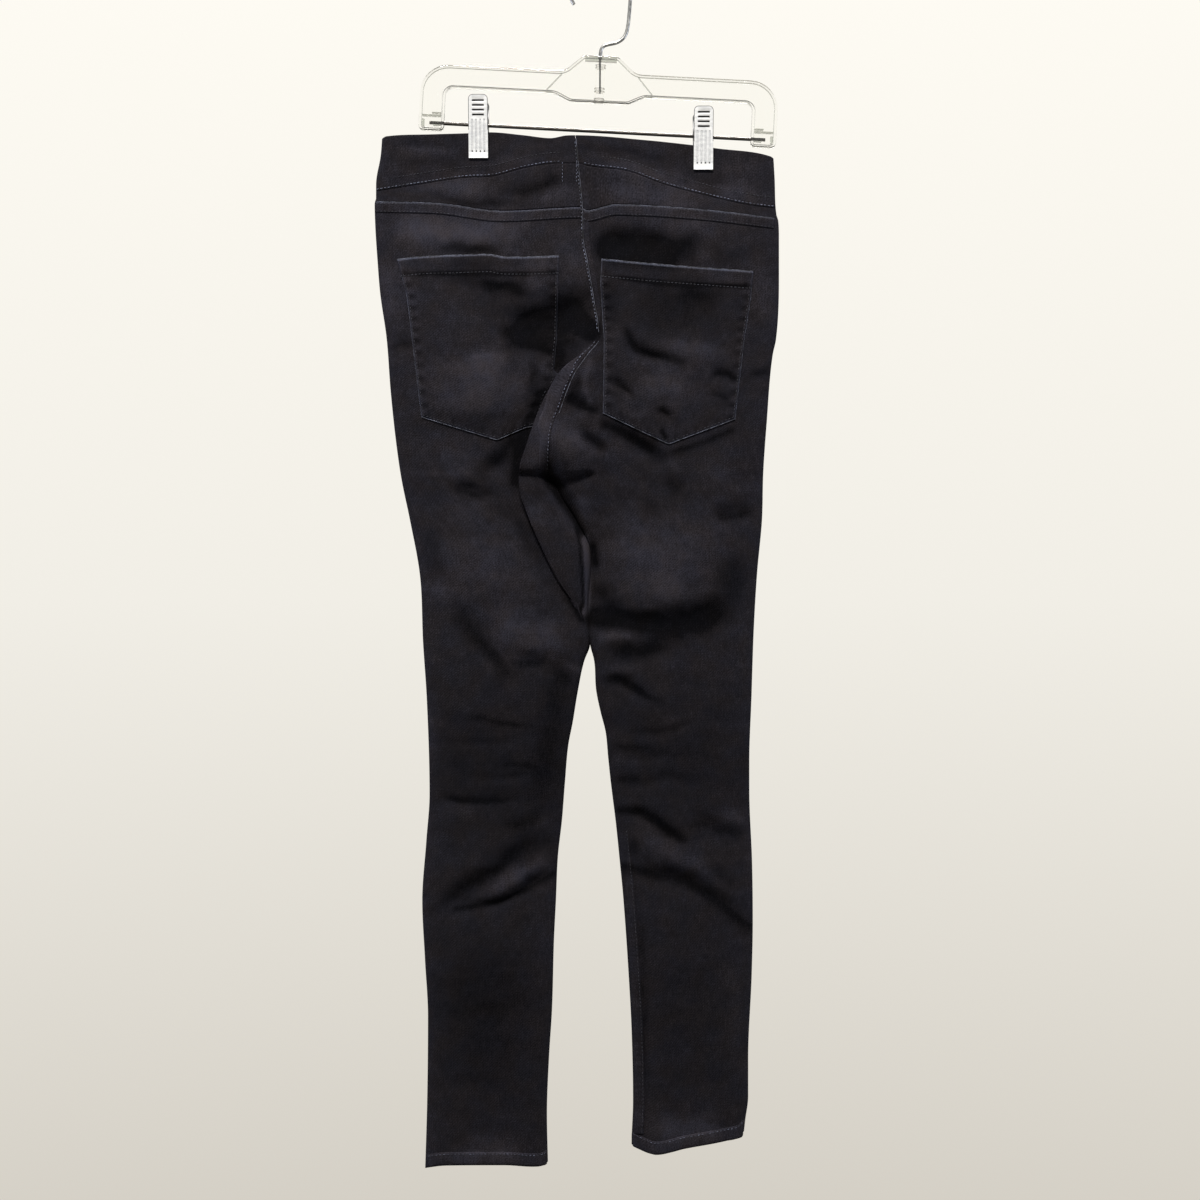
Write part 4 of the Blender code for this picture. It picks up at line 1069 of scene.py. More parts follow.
@dataclass(frozen=True)
class Pocket:
    """A patch pocket: a stretch of cloth laid over its panel, turned in along its edges and sewn down."""

    side: Side
    top: Reading
    low_edge: tuple[Pair, ...]
    high_edge: tuple[Pair, ...]
    bottom: tuple[Pair, ...]
    columns: int = 104
    rows: int = 120
    wall: float = 1.0
    stand: float = 1.5
    hem: float = 14.0
    hem_lift: float = 0.45
    hem_step: float = 1.0
    roll: float = 1.3
    edge_fall: float = 0.8
    # The groove that the hem's stitches pull: its depth, how far below the hem it is, and its width.
    groove: float = 0.3
    groove_off: float = 1.2
    groove_width: float = 1.1
    # The puckers along the edge stitches, which are weaker along the foot and start below the mouth.
    pucker_pitch: float = 10.7
    pucker_inset: float = 4.4
    pucker_width: float = 3.4
    pucker_depth: float = 0.55
    pucker_sway: float = 2.0
    pucker_drift: float = 17.0
    foot_share: float = 0.55
    foot_sway: float = 3.0
    foot_drift: float = 13.0
    pucker_start: float = 6.0
    pucker_grows: float = 8.0
    # How much painted shade darkens the puckers' dents and the groove, and how much painted light brightens
    # the swells between them and the edges. The groove's painted shade lies as far below the hem as it is
    # wide.
    dent_wear: float = -0.22
    swell_wear: float = 0.10
    edge_wear: float = 0.06
    edge_wear_width: float = 2.0
    groove_wear: float = 0.16
    groove_wear_width: float = 1.6
    # How strongly the mouth, the foot and the sides have rubbed pale, and how far in.
    rubs: tuple[Pair, ...] = ((0.55, 1.0), (0.22, 0.9), (0.07, 0.9))

    def flat(self, across: Array, down: Array) -> tuple[Array, Array]:
        """Finds places on the pocket before it is laid on the garment.

        Args:
            across: Shares of the way across.
            down: Shares of the way down.

        Returns:
            The x and the drop of each place.
        """
        x, drop = np.zeros_like(across), np.full_like(across, self.low_edge[0][0])
        for _ in range(SETTLING_STEPS):
            low, high = self.edges(drop)
            x = low + across * (high - low)
            start, end = self.ends(x)
            drop = start + down * (end - start)
        return x, drop

    def edges(self, drop: Array) -> tuple[Array, Array]:
        """The x of the pocket's two sides at each drop."""
        return np.interp(drop, *zip(*self.low_edge)), np.interp(drop, *zip(*self.high_edge))

    def ends(self, x: Array) -> tuple[Array, Array]:
        """The drop of the pocket's mouth and of its foot at each x."""
        return self.top.at(x), np.interp(x, *zip(*self.bottom))

    def form(self, garment: Garment, share: Array, down: Array) -> Weave:
        """Works out the pocket's cloth.

        Args:
            garment: The form that it lies on.
            share: Shares of the way across.
            down: Shares of the way down.

        Returns:
            Its points, their tone, faded and with painted light and shade, and how rubbed they are.
        """
        x, drop = self.flat(*(
            BORDER_EVEN * even + (1 - BORDER_EVEN) * (1 - np.cos(math.pi * even)) / 2
            for even in (share, down)
        ))
        start, end = self.ends(x)
        low, high = self.edges(drop)
        from_side = np.minimum(x - low, high - x)
        from_top, from_foot = drop - start, end - drop
        edge = np.minimum(np.minimum(from_side, from_foot), from_top)
        below_hem = from_top - self.hem
        lift = self.stand - self.edge_fall * bell(edge, self.roll)
        lift += self.hem_lift * (1 - ease(below_hem / self.hem_step + 0.5))
        lift -= self.groove * bell(below_hem - self.groove_off, self.groove_width)
        side_beat = beat(drop, self.pucker_sway, self.pucker_drift, self.pucker_pitch)
        foot_beat = beat(x, self.foot_sway, self.foot_drift, self.pucker_pitch)
        side_line = bell(from_side - self.pucker_inset, self.pucker_width)
        foot_line = bell(from_foot - self.pucker_inset, self.pucker_width)
        grown = ease((from_top - self.pucker_start) / self.pucker_grows)
        dent = np.maximum(side_line * side_beat**2, self.foot_share * foot_line * foot_beat**2) * grown
        lift -= self.pucker_depth * dent
        points = garment.lay(self.side, Face.BACK, x, drop, lift)
        swell = side_line * (1 - side_beat) ** 2 * grown
        # Painted shade darkens the dents and the groove; painted light brightens the swells and the edges.
        wear = wear_at(Face.BACK, x, drop) + self.dent_wear * dent + self.swell_wear * swell
        wear += self.edge_wear * bell(edge, self.edge_wear_width)
        wear += drawn(POCKET_WEAR_AND_PAINTED_LIGHT, x, drop)
        wear -= self.groove_wear * bell(below_hem - self.groove_wear_width, self.groove_wear_width)
        offs = (from_top, from_foot, from_side)
        rub = sum(amount * bell(off, width) for (amount, width), off in zip(self.rubs, offs))
        return Weave(points, np.clip(wear, 0, 1), rub)

    def build(self, garment: Garment) -> Object:
        """Makes the pocket."""
        name = f"back_pocket_cloth_{self.side}"
        return sheet_object(
            name, self.columns, self.rows, lambda u, v: self.form(garment, u, v), Face.BACK, self.wall
        )

    def border(self) -> dict[str, Array]:
        """Draws the pocket's edges.

        Returns:
            Flat lines of x and drop, by name: its top, its side at low x, its foot and its other side.
        """
        share = np.linspace(0, 1, BORDER_STEPS)
        zero, one = np.zeros_like(share), np.ones_like(share)
        lines = {"top": (share, zero), "low": (zero, share), "foot": (share, one), "high": (one, share)}
        return {key: np.stack(self.flat(*pair), -1) for key, pair in lines.items()}


# How wide a widening ribbon starts, as a share of its width, and how far in from a panel's edges it ends.
NARROWEST = 0.15
EDGE_INSET = 1.2
# How far ahead and behind a line's direction is taken, in millimetres, and how many points lines have.
LOOK_AHEAD = 1.5
SEAM_POINTS = 60
EDGE_POINTS = 120


@dataclass(frozen=True)
class Ribbon:
    """A narrow band of cloth, such as a felled seam or a turned hem, laid along a line on the garment."""

    name: str
    side: Side
    face: Face
    line: Array
    width: float
    lift: float = 0.9
    foot: float = 0.15
    edge: float = 1.2
    # The ribs that the stitches pull across it, whose pitch drifts twice over, with painted light on their
    # crests and painted shade between them.
    rib_pitch: float = 4.4
    rib_height: float = 0.045
    rib_drifts: tuple[Pair, ...] = ((2.0, 7.0), (1.3, 2.9))
    rib_wear: float = 0.03
    # The groove along its stitches: its depth, how far in it is, and its width.
    groove: float = 0.22
    groove_inset: float = 1.7
    groove_width: float = 0.6
    step: float = 1.25
    cells: int = 10
    wall: float = 0.7
    fade: float = 0.05
    rub_start: float = 0.0
    rub_width: float = 1.0
    widens_over: float = 0.0

    def form(self, garment: Garment, share: Array, down: Array) -> Weave:
        """Works out the band's cloth.

        Args:
            garment: The form that it lies on.
            share: Shares of the way along it.
            down: Shares of the way from its first edge to its second.

        Returns:
            Its points, their tone, faded and with painted light and shade, and how rubbed they are.
        """
        place, turn, length = along_line(self.line, share)
        width = self.width
        if self.widens_over:
            width = self.width * (NARROWEST + (1 - NARROWEST) * ease(share * length / self.widens_over))
        off = down * width
        flat = place + turn * off[..., None]
        outer = garment.outer(self.side, flat[..., 1])
        inner = garment.inner(self.side, self.face, flat[..., 1])
        low, high = np.minimum(outer, inner) + EDGE_INSET, np.maximum(outer, inner) - EDGE_INSET
        x, drop = np.clip(flat[..., 0], low, high), flat[..., 1]
        inset = np.minimum(off, width - off)
        body = ease(inset / self.edge)
        run = share * length
        drifted = sum((reach * np.sin(run / over) for reach, over in self.rib_drifts), run)
        rib = np.cos(2 * math.pi * drifted / self.rib_pitch)
        lift = self.foot + self.lift * body + self.rib_height * rib * body
        lift -= self.groove * bell(inset - self.groove_inset, self.groove_width)
        points = garment.lay(self.side, self.face, x, drop, lift)
        wear = wear_at(self.face, x, drop) + self.fade + self.rib_wear * rib * body
        return Weave(points, np.clip(wear, 0, 1), self.rub_start * bell(off, self.rub_width))

    def build(self, garment: Garment) -> Object:
        """Makes the band."""
        columns = max(4, round(length_of(self.line) / self.step))
        return sheet_object(
            self.name, columns, self.cells, lambda u, v: self.form(garment, u, v), self.face, self.wall
        )


def along_line(line: Array, share: Array) -> tuple[Array, Array, float]:
    """Finds places along a flat line.

    Args:
        line: The line's points, as x and drop.
        share: How far along it each place is, from 0 to 1.

    Returns:
        The places, the direction across the line at each (down, for a line to the right), and its length.
    """
    steps = np.linalg.norm(np.diff(line, axis=0), axis=-1)
    reach = np.concatenate(([0.0], steps.cumsum()))
    at = share * reach[-1]
    place, ahead, behind = (
        np.stack([np.interp(at + off, reach, line[:, k]) for k in range(2)], -1)
        for off in (0.0, LOOK_AHEAD, -LOOK_AHEAD)
    )
    run = ahead - behind
    run /= np.linalg.norm(run, axis=-1, keepdims=True)
    return place, np.stack((-run[..., 1], run[..., 0]), -1), float(reach[-1])


def beside(line: Array, off: float) -> Array:
    """The same line, moved that far across itself."""
    place, turn, _ = along_line(line, np.linspace(0, 1, max(12, len(line))))
    return place + turn * off


def seam_line(reading: Reading, start: float, end: float, off: float = 0.0) -> Array:
    """A line across the garment along a seam's table, from one x to another, moved down by an offset."""
    x = np.linspace(start, end, SEAM_POINTS)
    return np.stack((x, reading.at(x) + off), -1)


def inner_line(side: Side, start: float, end: float, off: float) -> Array:
    """A line down a back panel's inner edge, from one drop to another, moved sideways by an offset."""
    drop = np.linspace(start, end, EDGE_POINTS)
    return np.stack((GARMENT.inner(side, Face.BACK, drop) + off, drop), -1)


@dataclass(frozen=True)
class Stitching:
    """Rows of stitches in one thread on one face of the garment."""

    name: str
    side: Side
    face: Face
    lines: tuple[Array, ...]
    pitch: float = 3.3
    share: float = 0.72
    radius: float = 0.34
    lift: float = 0.25

    def build(self, garment: Garment) -> Object:
        """Makes each stitch a small rounded bar that lies along its line.

        Args:
            garment: The form that it lies on.

        Returns:
            The rows of stitches as one piece.
        """
        shape = bmesh.new()
        for line in self.lines:
            count = max(1, round(length_of(line) / self.pitch))
            middle = (np.arange(count) + 0.5) / count
            half = self.share / count / 2
            ends = []
            for way in (-1, 1):
                place = along_line(line, middle + way * half)[0]
                ends.append(garment.lay(self.side, self.face, *place.T, self.lift))
            for start, end in zip(*ends):
                self.add(shape, Vector(start), Vector(end))
        return piece_from(self.name, mesh_from(self.name, shape))

    def add(self, shape: BMesh, start: Vector, end: Vector) -> None:
        """Adds one stitch.

        Args:
            shape: The bmesh that the row is made in.
            start: The stitch's start in metres.
            end: Its end.
        """
        run = end - start
        turn = run.to_track_quat("X", "Z").to_matrix().to_4x4()
        size = Matrix.Diagonal((run.length / 2, self.radius * MM, self.radius * MM, 1))
        place = Matrix.Translation((start + end) / 2) @ turn @ size
        bmesh.ops.create_icosphere(shape, subdivisions=1, radius=1.0, matrix=place)


def tube(name: str, points: Array, radius: float, sides: int = 3) -> Mesh:
    """Makes a round tube along points in metres.

    Args:
        name: The mesh's name.
        points: The points of its middle line.
        radius: Its radius in millimetres.
        sides: The curve's bevel resolution.

    Returns:
        The tube, closed at its ends.
    """
    curve = bpy.data.curves.new(name, "CURVE")
    curve.dimensions = "3D"
    curve.bevel_depth = radius * MM
    curve.bevel_resolution = sides
    curve.use_fill_caps = True
    spline = curve.splines.new("POLY")
    spline.points.add(len(points) - 1)
    for knot, point in zip(spline.points, points):
        knot.co = (*point, 1.0)
    carrier = bpy.data.objects.new(name, curve)
    mesh = bpy.data.meshes.new_from_object(carrier)
    bpy.data.objects.remove(carrier)
    bpy.data.curves.remove(curve)
    mesh.name = name
    mesh.shade_smooth()
    return mesh


def joined(name: str, meshes: Sequence[Mesh]) -> Object:
    """Makes one piece of several meshes.

    Args:
        name: The piece's name.
        meshes: The meshes, which are used up.

    Returns:
        The piece.
    """
    shape = bmesh.new()
    for mesh in meshes:
        shape.from_mesh(mesh)
        bpy.data.meshes.remove(mesh)
    return piece_from(name, mesh_from(name, shape))


@dataclass(frozen=True)
class Edging:
    """Turned edges of cloth that have rubbed light along their fold."""

    name: str
    side: Side
    face: Face
    lines: tuple[Array, ...]
    radius: float = 0.42
    lift: float = 1.0
    step: float = 2.0

    def build(self, garment: Garment) -> Object:
        """Makes each edge a thin roll along its line.

        Args:
            garment: The form that it lies on.

        Returns:
            The edges as one piece.
        """
        meshes = []
        for line in self.lines:
            count = max(3, round(length_of(line) / self.step))
            place = along_line(line, np.linspace(0, 1, count))[0]
            points = garment.lay(self.side, self.face, *place.T, self.lift)
            meshes.append(tube(self.name, points, self.radius, 1))
        return joined(self.name, meshes)


def linear(colour: str) -> tuple[float, float, float, float]:
    """Turns an sRGB hex colour to the linear values that a shader takes."""
    parts = [int(colour[i : i + 2], 16) / 255 for i in (1, 3, 5)]
    return (*(p / 12.92 if p <= 0.04045 else ((p + 0.055) / 1.055) ** 2.4 for p in parts), 1.0)


def add_node(tree: NodeTree, kind: str, inputs: dict | None = None, **settings) -> Node:
    """Adds a node with its settings and links.

    Args:
        tree: The node tree.
        kind: The shader node's type.
        inputs: A value, or a socket to link from, for each input by name or number.
        settings: The node's own settings.

    Returns:
        The node.
    """
    node = tree.nodes.new("ShaderNode" + kind)
    for key, value in settings.items():
        setattr(node, key, value)
    fill_inputs(tree, node, inputs or {})
    return node


def fill_inputs(tree: NodeTree, node: Node, inputs: dict) -> None:
    """Gives each of a node's inputs a value, or a socket to link from.

    Args:
        tree: The node tree.
        node: The node.
        inputs: The value or the socket for each input by name or number.
    """
    for key, value in inputs.items():
        if isinstance(value, NodeSocket):
            tree.links.new(value, node.inputs[key])
        else:
            node.inputs[key].default_value = value


def blank_material(name: str) -> tuple[Material, NodeTree, Node]:
    """A new material with its tree and its main shader."""
    made = bpy.data.materials.new(name)
    made.use_nodes = True
    return made, made.node_tree, made.node_tree.nodes["Principled BSDF"]


def ramp(node: Node, stops: Sequence[tuple[float, str]]) -> NodeSocket:
    """Gives a colour ramp its stops.

    Args:
        node: The colour ramp.
        stops: The place and the colour of each stop.

    Returns:
        The socket of its colour.
    """
    elements = node.color_ramp.elements
    while len(elements) < len(stops):
        elements.new(1.0)
    for element, (place, colour) in zip(elements, stops):
        element.position = place
        element.color = linear(colour)
    return node.outputs["Color"]


@dataclass(frozen=True)
class Denim:
    """Overdyed stretch denim: a matt steep twill whose dye has worn off its ridges and not its hollows, with
    painted shade in its hollows and painted light on its ridges.
    """

    name: str = "overdyed stretch denim twill"
    hollow: str = "#09090b"
    plain: str = "#1f1e21"
    raised: str = "#38373d"
    rubbed: str = "#7d8496"
    # The real twill line is about 0.9 mm apart: it is drawn at 1.9 mm, the finest that a render of the
    # whole garment shows.
    twill_pitch: float = 1.9
    # The width and length of the thick places in its warp and in its weft, and the size of its fuzz and of
    # its uneven dye.
    slub: Pair = (1.2, 9.0)
    pick: Pair = (6.0, 1.1)
    grain: float = 1.1
    patch: float = 14.0
    # Black overdye over indigo shows brown in some places and blue in others.
    cast_size: float = 24.0
    warm: str = "#fff8f4"
    cool: str = "#f2f5ff"

    def build(self) -> Material:
        """Makes the material.

        Returns:
            The material, whose patterns follow its own sizes.
        """
        made, tree, shader = blank_material(self.name)
        weave, wear, rub = (
            add_node(tree, "Attribute", attribute_name=name).outputs[output]
            for name, output in (("weave", "Vector"), ("wear", "Fac"), ("rub", "Fac"))
        )
        twill_scale = 2 * math.pi / (10 * math.sqrt(2) * self.twill_pitch * MM)
        twill = add_node(
            tree, "TexWave", {"Vector": weave, "Scale": twill_scale, "Distortion": 0.6,
            "Detail": 1.0, "Detail Scale": 2.0}, wave_type="BANDS", bands_direction="DIAGONAL",
        ).outputs["Fac"]
        noises = []
        for size, detail, roughness in (
            (self.slub, 2.0, 0.5), (self.pick, 2.0, 0.5), (self.grain, 2.0, 0.5), (self.patch, 4.0, 0.6),
            (self.cast_size, 2.0, 0.5),
        ):
            vector, scale = weave, 1.0
            if isinstance(size, tuple):
                scales = (1 / (size[0] * MM), 1 / (size[1] * MM), 1.0)
                vector = add_node(tree, "Mapping", {"Vector": weave, "Scale": scales}).outputs[0]
            else:
                scale = 1 / (size * MM)
            settings = {"Vector": vector, "Scale": scale, "Detail": detail, "Roughness": roughness}
            noises.append(add_node(tree, "TexNoise", settings).outputs["Fac"])
        slub, pick, grain, patch, cast = noises
        # The tone starts from the stored fading with its painted light and shade.
        tone = wear
        for source, weight in ((patch, 0.26), (slub, 0.42), (pick, 0.36), (grain, 0.85), (twill, 0.06)):
            centred = add_node(tree, "Math", {0: source, 1: 0.5}, operation="SUBTRACT").outputs[0]
            tone = add_node(
                tree, "Math", {0: centred, 1: weight, 2: tone}, operation="MULTIPLY_ADD"
            ).outputs[0]
        cloth, shift = (
            ramp(add_node(tree, "ValToRGB", {"Fac": source}), stops)
            for source, stops in (
                (tone, ((0.0, self.hollow), (0.5, self.plain), (1.0, self.raised))),
                (cast, ((0.36, self.warm), (0.64, self.cool))),
            )
        )
        broken = add_node(
            tree, "MapRange", {"Value": slub, "From Min": 0.3, "From Max": 0.6, "To Min": 0.35}
        ).outputs["Result"]
        amount = add_node(tree, "Math", {0: rub, 1: broken}, operation="MULTIPLY").outputs[0]
        colour = add_node(
            tree, "Mix", {0: amount, 6: cloth, 7: linear(self.rubbed)}, data_type="RGBA"
        ).outputs[2]
        colour = add_node(
            tree, "Mix", {0: 1.0, 6: colour, 7: shift}, data_type="RGBA", blend_type="MULTIPLY"
        ).outputs[2]
        height = add_node(
            tree, "Math", {0: grain, 1: 0.7, 2: twill}, operation="MULTIPLY_ADD"
        ).outputs[0]
        bump = add_node(
            tree, "Bump", {"Height": height, "Strength": 0.45, "Distance": 0.25 * MM}
        ).outputs["Normal"]
        fill_inputs(tree, shader, {"Base Color": colour, "Normal": bump, "Roughness": 0.95,
                                   "Specular IOR Level": 0.03})
        return made


@dataclass(frozen=True)
class Thread:
    """Spun polyester sewing thread: a soft sheen, and fuzz that makes it uneven along its length."""

    name: str
    dark: str
    light: str
    patch: float = 5.0

    def build(self) -> Material:
        """Makes the material.

        Returns:
            The material, whose patterns follow its own sizes.
        """
        made, tree, shader = blank_material(self.name)
        place = add_node(tree, "TexCoord").outputs["Object"]
        uneven = add_node(
            tree, "TexNoise", {"Vector": place, "Scale": 1 / (self.patch * MM), "Detail": 3.0}
        ).outputs["Fac"]
        colour = ramp(
            add_node(tree, "ValToRGB", {"Fac": uneven}), ((0.38, self.dark), (0.62, self.light))
        )
        fill_inputs(tree, shader, {"Base Color": colour, "Roughness": 0.75, "Specular IOR Level": 0.3,
                                   "Sheen Weight": 0.1})
        return made


@dataclass(frozen=True)
class Styrene:
    """Clear moulded polystyrene: glossy and hard edged; a greyed copy is a painted reflection where it is
    seen edge on.
    """

    name: str = "clear moulded polystyrene"
    tint: str = "#fdfdfb"
    roughness: float = 0.03

    def build(self) -> Material:
        """Makes the material.

        Returns:
            The material, whose patterns follow its own sizes.
        """
        made, tree, shader = blank_material(self.name)
        place = add_node(tree, "TexCoord").outputs["Object"]
        flow = add_node(tree, "TexNoise", {"Vector": place, "Scale": 60.0, "Detail": 2.0})
        bump = add_node(
            tree, "Bump", {"Height": flow.outputs["Fac"], "Strength": 0.12, "Distance": 0.4 * MM}
        )
        fill_inputs(tree, shader, {
            "Base Color": linear(self.tint), "Normal": bump.outputs["Normal"], "Roughness": self.roughness,
            "IOR": 1.59, "Transmission Weight": 1.0,
        })
        return made


@dataclass(frozen=True)
class Metal:
    """Plated or drawn steel, with fine lines from its rolls or its die."""

    name: str
    dull: str
    bright: str
    roughness: float
    # How long and how wide the lines are, in millimetres, along x and z.
    lines: Pair = (12.0, 0.6)
    bump: float = 0.05

    def build(self) -> Material:
        """Makes the material.

        Returns:
            The material, whose patterns follow its own sizes.
        """
        made, tree, shader = blank_material(self.name)
        place = add_node(tree, "TexCoord").outputs["Object"]
        size = [1 / (self.lines[k] * MM) for k in (0, 1, 1)]
        along = add_node(tree, "Mapping", {"Vector": place, "Scale": size}).outputs["Vector"]
        lines = add_node(
            tree, "TexNoise", {"Vector": along, "Scale": 1.0, "Detail": 3.0}
        ).outputs["Fac"]
        colour = ramp(
            add_node(tree, "ValToRGB", {"Fac": lines}), ((0.3, self.dull), (0.7, self.bright))
        )
        bump = add_node(
            tree, "Bump", {"Height": lines, "Strength": 0.3, "Distance": self.bump * MM}
        ).outputs["Normal"]
        rough = add_node(
            tree, "MapRange",
            {"Value": lines, "To Min": self.roughness * 0.8, "To Max": self.roughness * 1.25},
        ).outputs["Result"]
        fill_inputs(
            tree, shader, {"Base Color": colour, "Normal": bump, "Roughness": rough, "Metallic": 1.0}
        )
        return made


# Edges that turn more than this are sharp.
SHARP_ANGLE = math.radians(35)
# The boss's thick top, and on each side its slanting rib, the two lines above the bar's seat, and the
# seat's stop and lip: both ends as x and z about the middle of the boss, width and thickness.
BOSS_BARS = (
    ((-14.0, 17.6), (14.0, 17.6), 3.4, 5.0),
    *(
        ((way * start[0], start[1]), (way * end[0], end[1]), width, thick)
        for way in (-1, 1)
        for start, end, width, thick in (
            ((34.0, 3.4), (47.0, -11.4), 0.6, 4.6),
            ((156.0, -39.6), (139.5, -39.6), 1.0, 6.2),
            ((147.5, -37.2), (139.5, -37.2), 0.8, 6.2),
            ((155.2, -43.0), (155.2, -49.4), 2.6, 4.4),
            ((146.0, -47.8), (139.5, -47.5), 1.2, 4.4),
        )
    ),
)


@dataclass(frozen=True)
class ClearFrame:
    """The hanger's clear arch: a recessed web in a raised rim, with blocks at its ends for the bar."""

    centre: tuple[float, float, float] = (0.0, 0.0, -107.7)
    tilt: float = math.radians(2.95)
    thickness: float = 7.0
    rim: float = 1.8
    recess: float = 1.4
    wall: float = 0.4
    bar_below: float = 45.9
    half_width: float = 159.0
    block: float = 22.5
    bottom: float = -52.4
    edge: float = 0.7
    arc: int = 8
    # The socket that the hook turns in: its half width, its middle, its length, its ribs and its rings.
    socket_half: float = 3.6
    socket_middle: float = -3.0
    socket_length: float = 29.0
    rib: Pair = (0.8, 8.2)
    rings: tuple[float, ...] = (12.6, 10.2, -8.4, -11.0, -17.6)
    ring_reach: float = 1.1
    ring_height: float = 0.9

    def matrix(self) -> Matrix:
        """Places what is drawn level about the middle of the boss."""
        return Matrix.Translation(Vector(self.centre) * MM) @ Matrix.Rotation(self.tilt, 4, "Y")

    def corners(self) -> list[tuple[float, float, float]]:
        """Works out the arch's corners.

        Returns:
            The x, z and radius of each, all round.
        """
        inside = self.half_width - self.block
        half = [
            (15.6, 20.5, 6.5), (32.0, 5.7, 13.0), (self.half_width, 5.7, 25.0),
            (self.half_width, self.bottom, 3.8), (inside, self.bottom, 3.8), (inside, -13.8, 6.5),
            (40.0, -13.8, 12.0), (26.0, -20.5, 12.0),
        ]
        return half + [(-x, z, radius) for x, z, radius in reversed(half)]

    def build(self) -> Object:
        """Makes the arch.

        Returns:
            The arch with its socket and bars; its second finish, a grey painted reflection, is for what is
            seen edge on.
        """
        shape = bmesh.new()
        corners = self.corners()
        verts = [shape.verts.new((x * MM, -self.thickness / 2 * MM, z * MM)) for x, z, _ in corners]
        shape.faces.new(verts)
        around = zip(corners[-1:] + corners[:-1], corners, corners[1:] + corners[:1], verts)
        for before, here, after, vert in around:
            arms = [Vector((end[0] - here[0], end[1] - here[1])) for end in (before, after)]
            reach = here[2] / math.tan(arms[0].angle(arms[1]) / 2)
            bmesh.ops.bevel(
                shape, geom=[vert], offset=reach * MM, affect="VERTICES", segments=self.arc, profile=0.5,
                material=-1,
            )
        grown = bmesh.ops.extrude_face_region(shape, geom=list(shape.faces))["geom"]
        moved = [item for item in grown if isinstance(item, BMVert)]
        bmesh.ops.translate(shape, verts=moved, vec=(0, self.thickness * MM, 0))
        bmesh.ops.recalc_face_normals(shape, faces=shape.faces)
        sharp = [edge for edge in shape.edges if edge.calc_face_angle(0.0) > SHARP_ANGLE]
        bmesh.ops.bevel(
            shape, geom=sharp, offset=self.edge * MM, affect="EDGES", segments=2, profile=0.5, material=-1
        )
        flats = sorted(shape.faces, key=lambda face: face.calc_area())[-2:]
        # The recess's walls take the second finish, a grey painted reflection.
        for thickness, depth, finish in ((self.rim, 0.0, 0), (self.wall, -self.recess, 1)):
            walls = bmesh.ops.inset_region(
                shape, faces=flats, thickness=thickness * MM, depth=depth * MM, use_even_offset=True
            )["faces"]
            for wall in walls:
                wall.material_index = finish
        self.add_socket(shape)
        bmesh.ops.transform(shape, matrix=self.matrix(), verts=shape.verts)
        mesh = mesh_from("hanger_clear_frame", shape)
        mesh.set_sharp_from_angle(angle=SHARP_ANGLE)
        return piece_from("hanger_clear_frame", mesh)

    def add_socket(self, shape: BMesh) -> None:
        """Adds the hook's socket, which is two ribs down the boss with rings round them, and the small bars.

        Args:
            shape: The arch, drawn level about the middle of the boss.
        """
        for x in (-self.socket_half, self.socket_half):
            place = Matrix.Translation((x * MM, 0, self.socket_middle * MM))
            size = Matrix.Diagonal((self.rib[0] * MM, self.rib[1] * MM, self.socket_length * MM, 1))
            bmesh.ops.create_cube(shape, size=1.0, matrix=place @ size)
        for start, end, width, thick in BOSS_BARS:
            middle = ((start[0] + end[0]) / 2 * MM, 0, (start[1] + end[1]) / 2 * MM)
            run = Vector((end[0] - start[0], 0, end[1] - start[1]))
            turn = run.to_track_quat("X", "Z").to_matrix().to_4x4()
            size = Matrix.Diagonal((run.length * MM, thick * MM, width * MM, 1))
            cube = bmesh.ops.create_cube(shape, size=1.0, matrix=Matrix.Translation(middle) @ turn @ size)
            # The bars take the second finish, a grey painted reflection.
            for wall in {wall for vert in cube["verts"] for wall in vert.link_faces}:
                wall.material_index = 1
        radius = (self.socket_half + self.ring_reach) * MM
        for height in self.rings:
            bmesh.ops.create_cone(
                shape, cap_ends=True, segments=24, radius1=radius, radius2=radius,
                depth=self.ring_height * MM, matrix=Matrix.Translation((0, 0, height * MM)),
            )


@dataclass(frozen=True)
class Hook:
    """The bent wire: straight in the boss, an offset neck, then a half circle over the rail."""

    radius: float = 1.6
    crown: float = 25.8
    tip: float = math.radians(212)
    shank: tuple[Pair, ...] = (
        (0.0, 90.0), (0.4, 85.0), (1.2, 80.6), (3.6, 77.4), (8.4, 75.9), (14.4, 74.6), (19.6, 71.6),
        (23.0, 66.8), (24.8, 60.0), (25.8, 51.0), (26.8, 38.5),
    )
    stem: float = 0.8
    stem_end: float = 120.0

    def build(self) -> Object:
        """Makes the hook.

        Returns:
            The bent wire and its thin stem as one piece.
        """
        centre = self.crown + self.radius
        angles = np.linspace(0, self.tip, 40)
        crown = np.stack((centre * np.cos(angles), 0 * angles, centre * np.sin(angles) - self.crown), -1)
        neck = np.array([(x, 0.0, -drop) for x, drop in self.shank])
        path = np.vstack((through(np.vstack((neck, crown[:1])), 6)[:-1], crown))
        stem = np.array([(0.0, 0.0, -self.shank[0][1] + 1.0), (0.0, 0.0, -self.stem_end)])
        name = "hanger_wire_hook"
        return joined(name, (tube(name, path * MM, self.radius, 6), tube(name, stem * MM, self.stem, 4)))


